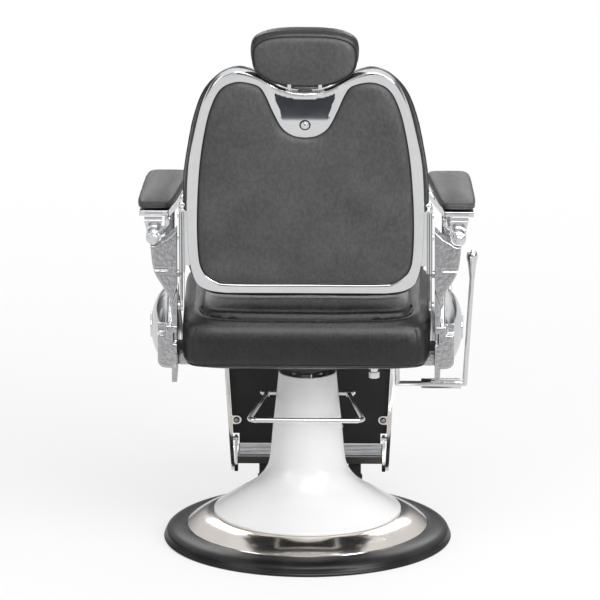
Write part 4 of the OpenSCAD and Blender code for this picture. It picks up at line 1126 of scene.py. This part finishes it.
low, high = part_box("seat_cushion")
low.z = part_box("seat_board")[0].z - 0.004
middle, half = (low + high) / 2, (high - low) / 2
ring = block_ring(half.x + 0.005, half.y - 0.001, 0.17, 180)
seat = stuffed("seat_cushion_cover", LEATHER, ring, (0, 0, 0), half=half.z - 0.006,
               squareness=0.52, rings=24, crown=0.005, foot=0.2)
inflate(seat, (-0.2765, -half.y - 0.008, -half.z), (0.2765, half.y + 0.008, half.z + 0.004),
        pressure=5.0, cap=24.0, voxel=6.0)
roll_over(seat, start=half.z - 0.084, radius=0.1, reach=half.y)
top_line = dense([(x, y, half.z) for x, y in block_ring(half.x - 0.026, half.y - 0.026, 0.26, 120)])
top_line = on_surface(seat, top_line)
corners = []
for sx in (1, -1):
    for sy in (1, -1):
        spine = [Vector((sx * (half.x - 0.010), sy * (half.y + 0.02), z))
                 for z in (half.z - 0.012, 0.0, -half.z + 0.006)]
        corners.append(on_surface(seat, dense(spine, closed=False)))
groove(seat, [top_line], depth=6.0, width=7.0)
groove(seat, corners, depth=1.6, width=2.6)
foot_line = [Vector((x, y, -half.z + 0.004)) for x, y in block_ring(half.x, half.y, 0.22, 160)]
foot_line = on_surface(seat, foot_line, 0.001)
seat_welt = welt("seat_foot_welt", foot_line, 2.6)
seat_cord = welt("seat_top_welt", on_surface(seat, top_line[::3], 0.0006), 2.0)
rows = [stitches(f"seat_corner_stitches_{i}", on_surface(seat, line[::2], 0.0002), closed=False)
        for i, line in enumerate(corners)]
fit_in(Matrix.Translation(middle), seat, seat_welt, seat_cord, *rows)
upholster("seat", "seat_cushion", 0.85, seat, seat_welt, seat_cord, *rows)

# %% [markdown]
# The back cushion follows the outline of the back. It is made lying flat, front side up, so that
# its rear can be kept flat against the board. A sewn border runs inside its edge and one cross
# seam marks the small of the back. The same steps serve the leg pad.

# %% Back cushion
def local_points(node, matrix):
    """The construction piece's points seen from a local frame."""
    back = matrix.inverted()
    return [back @ v.co for v in frame["nodes"][node].data.vertices]


LYING = BACK @ FACE
solid = local_points("back_cushion", LYING)
(front_y0, front_y1), (rear, front) = span(solid, 1), span(solid, 2)
depth = (front - rear) / 2
outline = [Vector((p.x * 0.996, 0.25 + (p.y - 0.25) * (0.978 if p.y > 0.25 else 0.985)))
           for p in back_outline]
back_pad = stuffed("back_cushion_cover", LEATHER, outline, (0, 0.24, (front + rear) / 2),
                   half=depth - 0.006, squareness=0.36, rings=22, crown=0.004)
inflate(back_pad, (-0.2708, front_y0 - 0.002, rear), (0.2708, front_y1 - 0.004, front + 0.003),
        pressure=4.0, cap=22.0, voxel=6.0)
border = on_surface(back_pad, dense(around(outline, 0.85, 0.86, 0.25, front)))
waist = [Vector((x, 0.125 + 0.012 * math.cos(x * 12), front))
         for x in (-0.215, -0.14, -0.07, 0, 0.07, 0.14, 0.215)]
waist = on_surface(back_pad, dense(waist, closed=False))
edge_line = around(outline, 1.02, 1.02, 0.25, (front + rear) / 2)
edge_line = on_surface(back_pad, dense(edge_line, 0.004))
groove(back_pad, [border, waist], depth=5.0, width=5.5)
groove(back_pad, [edge_line], depth=1.2, width=2.2)
edge_welt = welt("back_edge_welt", on_surface(back_pad, edge_line, 0.0008), 2.2)
seam_rows = [stitches("back_border_stitches", on_surface(back_pad, border[::2], 0.0004)),
             stitches("back_waist_stitches", on_surface(back_pad, waist[::2], 0.0004), False)]
fit_in(LYING, back_pad, edge_welt, *seam_rows)
upholster("back", "back_cushion", 0.8, back_pad, edge_welt, *seam_rows)

# %% Leg pad
LEG_LYING = LEG @ FACE
solid = local_points("leg_pad", LEG_LYING)
(foot_y, head_y), (rear, front) = span(solid, 1), span(solid, 2)
wide = max(abs(p.x) for p in solid if p.y > head_y - 0.04) - 0.006
slim = max(abs(p.x) for p in solid if p.y < foot_y + 0.04) - 0.006
mid_y, long = (foot_y + head_y) / 2, (head_y - foot_y) / 2 - 0.006
outline = [Vector((x * ((wide + slim) / 2 + (wide - slim) / 2 * y / long), mid_y + y))
           for x, y in block_ring(1.0, long, 0.2, 120)]
leg_cover = stuffed("leg_pad_cover", LEATHER, outline, (0, mid_y, (front + rear) / 2),
                    half=(front - rear) / 2 - 0.004, squareness=0.4, rings=16, crown=0.002)
inflate(leg_cover, (-wide - 0.004, foot_y, rear), (wide + 0.004, head_y, front + 0.004),
        pressure=3.0, cap=9.0, voxel=5.0)
border = on_surface(leg_cover, dense(around(outline, 0.87, 0.87, mid_y, front)))
groove(leg_cover, [border], depth=2.6, width=3.6)
leg_row = stitches("leg_pad_stitches", on_surface(leg_cover, border[::2], 0.0003))
fit_in(LEG_LYING, leg_cover, leg_row)
upholster("leg", "leg_pad", 0.7, leg_cover, leg_row)

# %% [markdown]
# The headrest is two forms: a fat front pad, and a smaller shell behind it covered in a lighter
# copy of the same leathercloth, whose lighter tone is painted light, with a piped seam where they
# meet. Two bright lugs come down from the shell to the tilt pin in the post.

# %% Headrest
HEAD = LYING @ Matrix.Translation((0, HEAD_UP, 0))
solid = local_points("head_pad", HEAD)
(low_y, top_y), (rear, front) = span(solid, 1), span(solid, 2)


def head_ring(k):
    """Full and square at the top, rounder and narrower towards the neck."""
    ring = []
    for i in range(96):
        turn_by = 2 * math.pi * i / 96
        e = 0.86 if math.sin(turn_by) < 0 else 0.62
        v = power(math.sin(turn_by), e)
        u = power(math.cos(turn_by), e) * (1 + 0.045 * v)
        ring.append(Vector((k * 0.120 * u, k * 0.069 * v)))
    return ring


head_pad = stuffed("headrest_cushion", LEATHER,
                   [Vector((p.x * 1.02, p.y * 0.955 - 0.005)) for p in head_ring(0.97)],
                   (0, 0, (front + rear) / 2), half=(front - rear) / 2 - 0.005,
                   squareness=0.55, rings=16, crown=0.002)
inflate(head_pad, (-0.1235, low_y + 0.001, rear), (0.1235, top_y - 0.008, front + 0.003),
        pressure=5.0, cap=14.0, voxel=4.0)
for height, depth, width in ((rear + 0.020, 1.6, 2.6), (front - 0.014, 1.2, 2.2)):
    sewn = on_surface(head_pad, dense([(p.x, p.y, height) for p in head_ring(1.02)]))
    groove(head_pad, [sewn], depth, width)
head_row = stitches("headrest_stitches", on_surface(head_pad, sewn[::2], 0.0002))
fit_in(HEAD, head_pad, head_row)
upholster("headrest", "head_pad", 0.9, head_pad, head_row)


def shell_lift(x, y, edge):
    """The shell bulges quickly from its seam and then swells a little."""
    ripple = noise.noise(Vector((x * 22, y * 22, 4.0))) * 0.0007
    seam, swell = 1 - math.exp(-edge / 0.007), 1 - math.exp(-edge / 0.03)
    return 0.0100 + 0.0085 * seam + 0.007 * swell + ripple


shell_ring = [Vector((p.x * 1.01, p.y * 0.97 - 0.002)) for p in head_ring(0.925)]
shell = formed_sheet("headrest_shell", shell_ring, None, shell_lift, LIT_PANEL_LEATHER,
                     insets=(0.0012, 0.003, 0.0055, 0.009), step=0.004, grid_step=0.005,
                     fold=0.0094)
mark_seam(shell, finder(spaced(shell_ring, 0.001)), 0.0032)
piping = welt("headrest_piping", [Vector((p.x * 1.01, p.y * 0.97 - 0.002, 0.0112))
                                  for p in head_ring(0.94)], 1.9)
UPRIGHT = STAND @ Matrix.Translation((0, HEAD_UP, 0))
tidy(shell.data, UPRIGHT)
tidy(piping.data, UPRIGHT)


def lug(x):
    """A bright lug: an eye round the tilt pin and a strap up behind the shell."""
    eye = [(-0.014 + a, 0.5175 + b) for a, b in arc(0, 0, 0.0054, 135, 360, 14)]
    side = eye + [(-0.0086, 0.5185), (0.0135, 0.5225), (0.0143, 0.530), (0.0143, 0.549),
                  (0.0100, 0.549), (0.0100, 0.5295), (-0.0178, 0.5223)]
    points = [(x + dx, w, v) for dx in (0, 0.008) for w, v in side]
    n = len(side)
    faces = [list(range(n))[::-1], list(range(n, 2 * n))]
    faces += [(i, (i + 1) % n, n + (i + 1) % n, n + i) for i in range(n)]
    piece = new_piece("headrest_lug", mesh_from("headrest_lug", points, faces), CHROME)
    tidy(piece.data)
    bevel(piece, 0.8, 3)
    tidy(bake_modifiers(piece).data, BACK)
    return smooth(piece, 40)


for piece, slot in ((shell, "black_leather"), (piping, "black_leather"), (lug(0.030), "chrome"),
                    (lug(-0.038), "chrome")):
    rides(piece, "headrest")
    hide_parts("head_board")
print("headrest:", len(shell.data.polygons), "faces on the shell")

# %% [markdown]
# The arm pads are moulded over their plates: wider at the front, leaning inwards, full on top
# with softly squared edges, and closed underneath by a welt.

# %% Arm pads
def arm_outline(side):
    """Superellipse corners stretched over the slanted outline of the arm."""
    corners = [(0.299, 0.141), (0.258, -0.139), (0.358, -0.139), (0.377, 0.141)]
    ring = []
    for x, y in block_ring(1, 1, 0.26, 120):
        u, v = (1 + x) / 2, (1 + y) / 2
        x, y = [(corners[1][k] * (1 - u) + corners[2][k] * u) * (1 - v)
                + (corners[0][k] * (1 - u) + corners[3][k] * u) * v for k in (0, 1)]
        ring.append(Vector((side * x, y)))
    return ring


for side, sign in SIDES:
    low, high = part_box("arm_pad_" + side)
    centre, tall = middle_of("arm_pad_" + side), (high.z - low.z) / 2
    ring = [p.lerp(Vector((centre.x, 0)), 0.02) for p in arm_outline(sign)]
    pad = stuffed("arm_pad_cover_" + side, LIT_ARM_LEATHER, ring, (centre.x, 0, centre.z),
                  half=tall - 0.005, squareness=0.42, rings=14, crown=0.002)
    inflate(pad, low - Vector((0.004, 0.003, 0)), high + Vector((0.004, 0.003, 0.005)),
            pressure=4.0, cap=9.0, voxel=4.0)
    foot = on_surface(pad, dense([(p.x, p.y, low.z + 0.004) for p in ring], 0.004), 0.0004)
    trim = welt("arm_pad_welt_" + side, foot, 1.7, LIT_ARM_LEATHER)
    seam = on_surface(pad, dense([(p.x, p.y, high.z - 0.007) for p in ring]))
    groove(pad, [seam], depth=0.9, width=2.0)
    row = stitches("arm_pad_stitches_" + side, on_surface(pad, seam[::2], 0.0002))
    upholster("seat", "arm_pad_" + side, 0.8, pad, trim, row)

# %% [markdown]
# Small hardware tells the eye how a thing is held together. A countersunk cross-head screw sits
# in each ear of the leg rest's bars, the leg board gets a few more, and the foot arms end in black
# moulded caps. The screw head is drawn once as a little dome with a cross pressed into it, and a
# Geometry Nodes tree sets a copy at each marked point, turned to a random angle from a fixed seed,
# because nobody stops every screw at the same place.

# %% Screw heads
def screw_head(radius, height, crossed=True):
    """A domed head, with or without a cross recess, lying on z = 0, in millimetres."""
    points, faces, rings, count = [], [], 9, 40
    for k in range(rings + 1):
        r = radius * (1 - k / rings)
        dome = height * (1 - (r / radius) ** 2) ** 0.6
        for i in range(count):
            turn_by = 2 * math.pi * i / count
            x, y = r * math.cos(turn_by), r * math.sin(turn_by)
            small, large = sorted((abs(x), abs(y)))
            arm = crossed and small < 0.16 * radius and large < 0.6 * radius
            points.append((x * MM, y * MM, (dome - (0.7 * height if arm else 0)) * MM))
    for k in range(rings):
        for i in range(count):
            j = (i + 1) % count
            a, b = k * count, (k + 1) * count
            faces.append((a + i, a + j, b + j, b + i))
    piece = new_piece("screw_head_shape", mesh_from("screw_head_shape", points, faces))
    tidy(piece.data)
    return piece


screwing = Tree("screw_set", Head="Object", Lay="Vector", Seed="Int")
shape_in = screwing.add("GeometryNodeObjectInfo", {0: screwing.given["Head"]}, "Geometry",
                        transform_space="ORIGINAL")
turned_by = screwing.add("FunctionNodeRandomValue",
                         {2: 0.0, 3: math.pi, "Seed": screwing.given["Seed"]}, 1,
                         data_type="FLOAT")
laid = screwing.add("GeometryNodeInstanceOnPoints",
                    {0: screwing.given["Geometry"], 2: shape_in, "Rotation": screwing.given["Lay"]})
screwing.close(screwing.add("GeometryNodeRotateInstances",
                            {0: laid, 2: screwing.add("ShaderNodeCombineXYZ", {2: turned_by})}))

head_shape, washer_shape = screw_head(5.2, 2.3), screw_head(6.8, 1.1, False)


def screws(name, body, spots, matrix, lay, finish, shape=head_shape):
    """Screw heads on the spots of a local frame, in metres; lay turns the head off the flat."""
    piece = screwing.run(name, mesh_from(name, spots), Head=shape, Lay=lay, Seed=7, Finish=finish)
    fit_in(matrix, piece)
    rides(smooth(piece, 40), body)
    print(name, len(spots), "heads,", len(piece.data.polygons), "faces")


TO_REAR = (-math.pi / 2, 0, 0)
ears = []
for side, _ in SIDES:
    disc = [p for p in local_points("leg_bar_" + side, LEG) if abs(p.y - 0.010) < 2e-4]
    disc = [p for p in disc if p.z < min(q.z for q in disc) + 0.0112]
    (x0, x1), (z0, z1) = span(disc, 0), span(disc, 2)
    ears.append(((x0 + x1) / 2, 0.0098, (z0 + z1) / 2))
screws("ear_screws", "leg", [(x, y + 0.0006, z) for x, y, z in ears], LEG, TO_REAR, BOLT_STEEL)
screws("ear_washers", "leg", ears, LEG, TO_REAR, RUBBER, washer_shape)
z0, z1 = span(local_points("leg_board", LEG), 2)
spots = [(x, 0.0038, z) for x in (-0.07, 0.07) for z in (z0 + 0.045, z1 - 0.045)]
screws("leg_board_screws", "leg", spots, LEG, TO_REAR, BOLT_STEEL)
for shape in (head_shape, washer_shape):
    bpy.data.objects.remove(shape)

# %% Black end caps on the foot arms
low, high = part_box("foot_arms")
thick = 0.5 * (high.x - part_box("foot_tread")[1].x)
rear_arm = [v.co for v in frame["nodes"]["foot_arms"].data.vertices if v.co.z < low.z + 0.002]
y0, y1 = span(rear_arm, 1)
for side, sign in SIDES:
    ring = block_ring(thick + 0.0012, (y1 - y0) / 2 + 0.0012, 0.3, 40)
    cap = stuffed("foot_arm_cap_" + side, RUBBER, ring, (0, 0, 0), half=0.0085,
                  squareness=0.25, rings=8)
    fit_in(Matrix.Translation((sign * (high.x - thick), (y0 + y1) / 2, low.z + 0.0078)), cap)
    rides(smooth(cap, 50), BODY_OF["foot_arms"])
print("two end caps")

# %% [markdown]
# The side bars of the back are ribbed: two bright ribs run up each bar, and four thin dark cords
# laid beside them stand in for the shadow along the ribs: painted shade.

# %% Painted shadow lines on the side bars
for side, sign in SIDES:
    face = [p for p in local_points("hinge_bar_" + side, BACK) if abs(p.y + 0.0105) < 4e-4]
    x0, (z0, z1) = min(abs(p.x) for p in face), span(face, 2)
    for i, away in enumerate((0.0023, 0.0061, 0.0079, 0.0117)):
        run = [Vector((sign * (x0 + away), -0.0104, z)) for z in (z0 + 0.004, z1 - 0.006)]
        # Each dark cord is painted shadow beside a rib.
        flute = welt(f"bar_flute_{side}_{i}", run, 0.6, DARK_PAINT, closed=False)
        fit_in(BACK, flute)
        rides(flute, "back")
    print("fluted bar", side, round(z1 - z0, 3), "m high")

# %% [markdown]
# The rear cross tube of the seat frame ends in a bright ferrule on each side, between the cushion
# and the side casting. It hides the weld and stops the paint from chipping where the casting is
# bolted on.

# %% Ferrules on the cross tube
tube = [v.co for v in frame["nodes"]["seat_frame"].data.vertices if v.co.y > 0.074]
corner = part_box("seat_frame")[1]
(y0, y1), (z0, z1) = span(tube, 1), (corner.z - 0.022, corner.z)
inner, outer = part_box("seat_cushion")[1].x - 0.016, corner.x - 0.0006
for side, sign in SIDES:
    ring = block_ring((y1 - y0) / 2 + 0.0022, (z1 - z0) / 2 + 0.0022, 0.22, 72)
    ferrule = stuffed("frame_ferrule_" + side, CAST_CHROME, ring, (0, 0, 0),
                      half=(outer - inner) / 2, squareness=0.16, rings=10)
    place = Vector((sign * (inner + outer) / 2, (y0 + y1) / 2, (z0 + z1) / 2))
    tidy(ferrule.data, Matrix.Translation(place)
         @ Matrix(((0, 0, 1, 0), (1, 0, 0, 0), (0, 1, 0, 0), (0, 0, 0, 1))))
    rides(smooth(ferrule, 40), "seat")
print("two ferrules", round(outer - inner, 4), "m long")

# %% [markdown]
# The chair is shown in a plain studio: a pale floor that keeps a soft shadow, a wide softbox
# overhead, a lower one on each side and a split pair in front. Plated parts mirror their
# surroundings, so what they see matters as much as the lamps: the surround is white above and
# grades to grey near the horizon, with a few darker flats standing around and one dark screen in
# front.

# %% Surroundings
def light_paths(finish):
    """1 for what the camera sees, and 1 for what a bright surface mirrors."""
    return finish.node("LightPath", out=0), finish.node("LightPath", out=3)


world = bpy.data.worlds.new("studio")
scene.world = world
room = Finish("studio", world)
side, fore, up = room.axes()
sky = room.node("ValToRGB", {"stops": [(0.0, (0.5, 0.5, 0.5)), (0.49, (0.3, 0.3, 0.31)),
                                       (0.52, (0.16, 0.165, 0.18)), (0.56, (0.34, 0.345, 0.36)),
                                       (0.68, (0.75, 0.75, 0.76)), (1.0, (0.95, 0.95, 0.95))]},
                {0: up * 0.5 + 0.5})
flats = room.noise(1.6, 1.0, 0.3, stretch=(2.2, 2.2, 0.9)).between(0.52, 0.6)
seen = room.mix(flats * up.between(0.75, 0.2) * 0.75, sky, (0.045, 0.048, 0.055))
screen = ((side * side) ** 0.5).between(0.1, 0.25, 1.0, 0.0) * fore.between(-0.6, -0.35, 1.0, 0.0)
seen = room.mix(screen * up.between(0.6, 0.75, 1.0, 0.0), seen, (0.08, 0.083, 0.09))
by_eye, by_gloss = light_paths(room)
tone = room.mix(by_eye, room.mix(by_gloss, (0.5, 0.5, 0.5), seen), (1.0, 1.0, 1.0))
room.close(room.node("Background", {}, {0: tone}))
print("surroundings set")

# %% Floor
bm = bmesh.new()
bmesh.ops.create_grid(bm, x_segments=24, y_segments=24, size=14.0)
floor_mesh = bpy.data.meshes.new("studio_floor")
bm.to_mesh(floor_mesh)
bm.free()
pale = Finish("pale_floor")
cloud = pale.noise(1.5, 2.0)
x, y, _ = pale.axes()
reach = (x * x + y * y) ** 0.5
by_eye, by_gloss = light_paths(pale)
runner = (reach + cloud * 0.9).between(2.15, 2.6) * ((x * x) ** 0.5).between(0.2, 0.27, 1.0, 0.0)
paper = pale.mix(runner * by_gloss, (0.72, 0.72, 0.72), (0.035, 0.038, 0.048))
matt = pale.node("BsdfDiffuse", {}, {0: pale.mix(cloud, (0.80, 0.80, 0.80), (0.84, 0.84, 0.84))})
glow = pale.node("Emission", {}, {0: pale.mix(by_eye, paper, (1.0, 1.0, 1.0))})
shown = by_eye * reach.between(1.0, 3.2, 0.66, 1.0) + by_gloss * (runner * 0.1 + 0.9)
pale.close(pale.node("MixShader", {}, {0: shown, 1: matt, 2: glow}))
new_piece("studio_floor", floor_mesh, pale.material)
print("floor laid at z = 0")


# %% Softboxes
def softbox(name, place, target, width, height, watts):
    lamp = bpy.data.lights.new(name, "AREA")
    lamp.shape, lamp.size, lamp.size_y, lamp.energy = "RECTANGLE", width, height, watts
    piece = new_piece(name, lamp)
    piece.location = place
    piece.rotation_euler = (Vector(target) - Vector(place)).to_track_quat("-Z", "Y").to_euler()


softbox("overhead", (-0.6, 2.0, 3.1), (0, 0, 0.6), 2.6, 1.6, 66)
softbox("rear_right", (-2.6, 2.6, 2.1), (0, 0, 0.7), 1.3, 2.0, 70)
softbox("rear_left", (2.8, 2.0, 1.8), (0, 0, 0.6), 1.2, 2.0, 16)
for sign in (-1, 1):
    softbox(f"front_{sign}", (sign * 0.95, -3.2, 2.45), (sign * 0.95, 0, 0.6), 1.2, 1.8, 22)
softbox("front_low", (0.0, -3.2, 0.93), (0, 0, 0.6), 0.5, 0.3, 1.9)
print("six softboxes")

# %% [markdown]
# The camera stands far behind the chair with a very long lens, level enough to look down only
# sixteen degrees. The long lens keeps the rim, the seat and the base at one scale.

# %% Camera
lens = bpy.data.cameras.new("camera")
camera = new_piece("camera", lens)
distance, elevation, turned = 50.0, math.radians(16.1), math.radians(1.0)
aim = Vector((0.0167, 0.0, 0.548))
away = Vector((-math.sin(turned) * math.cos(elevation), math.cos(turned) * math.cos(elevation),
               math.sin(elevation)))
lens.sensor_width, lens.clip_end = 36.0, 200.0
lens.lens = 36.0 * distance / 1.3333
camera.location = aim + away * distance
camera.rotation_euler = (-away).to_track_quat("-Z", "Y").to_euler()
scene.camera = camera
scene.view_settings.view_transform = "Standard"
print("camera", round(distance, 1), "m away,", round(lens.lens), "mm lens")
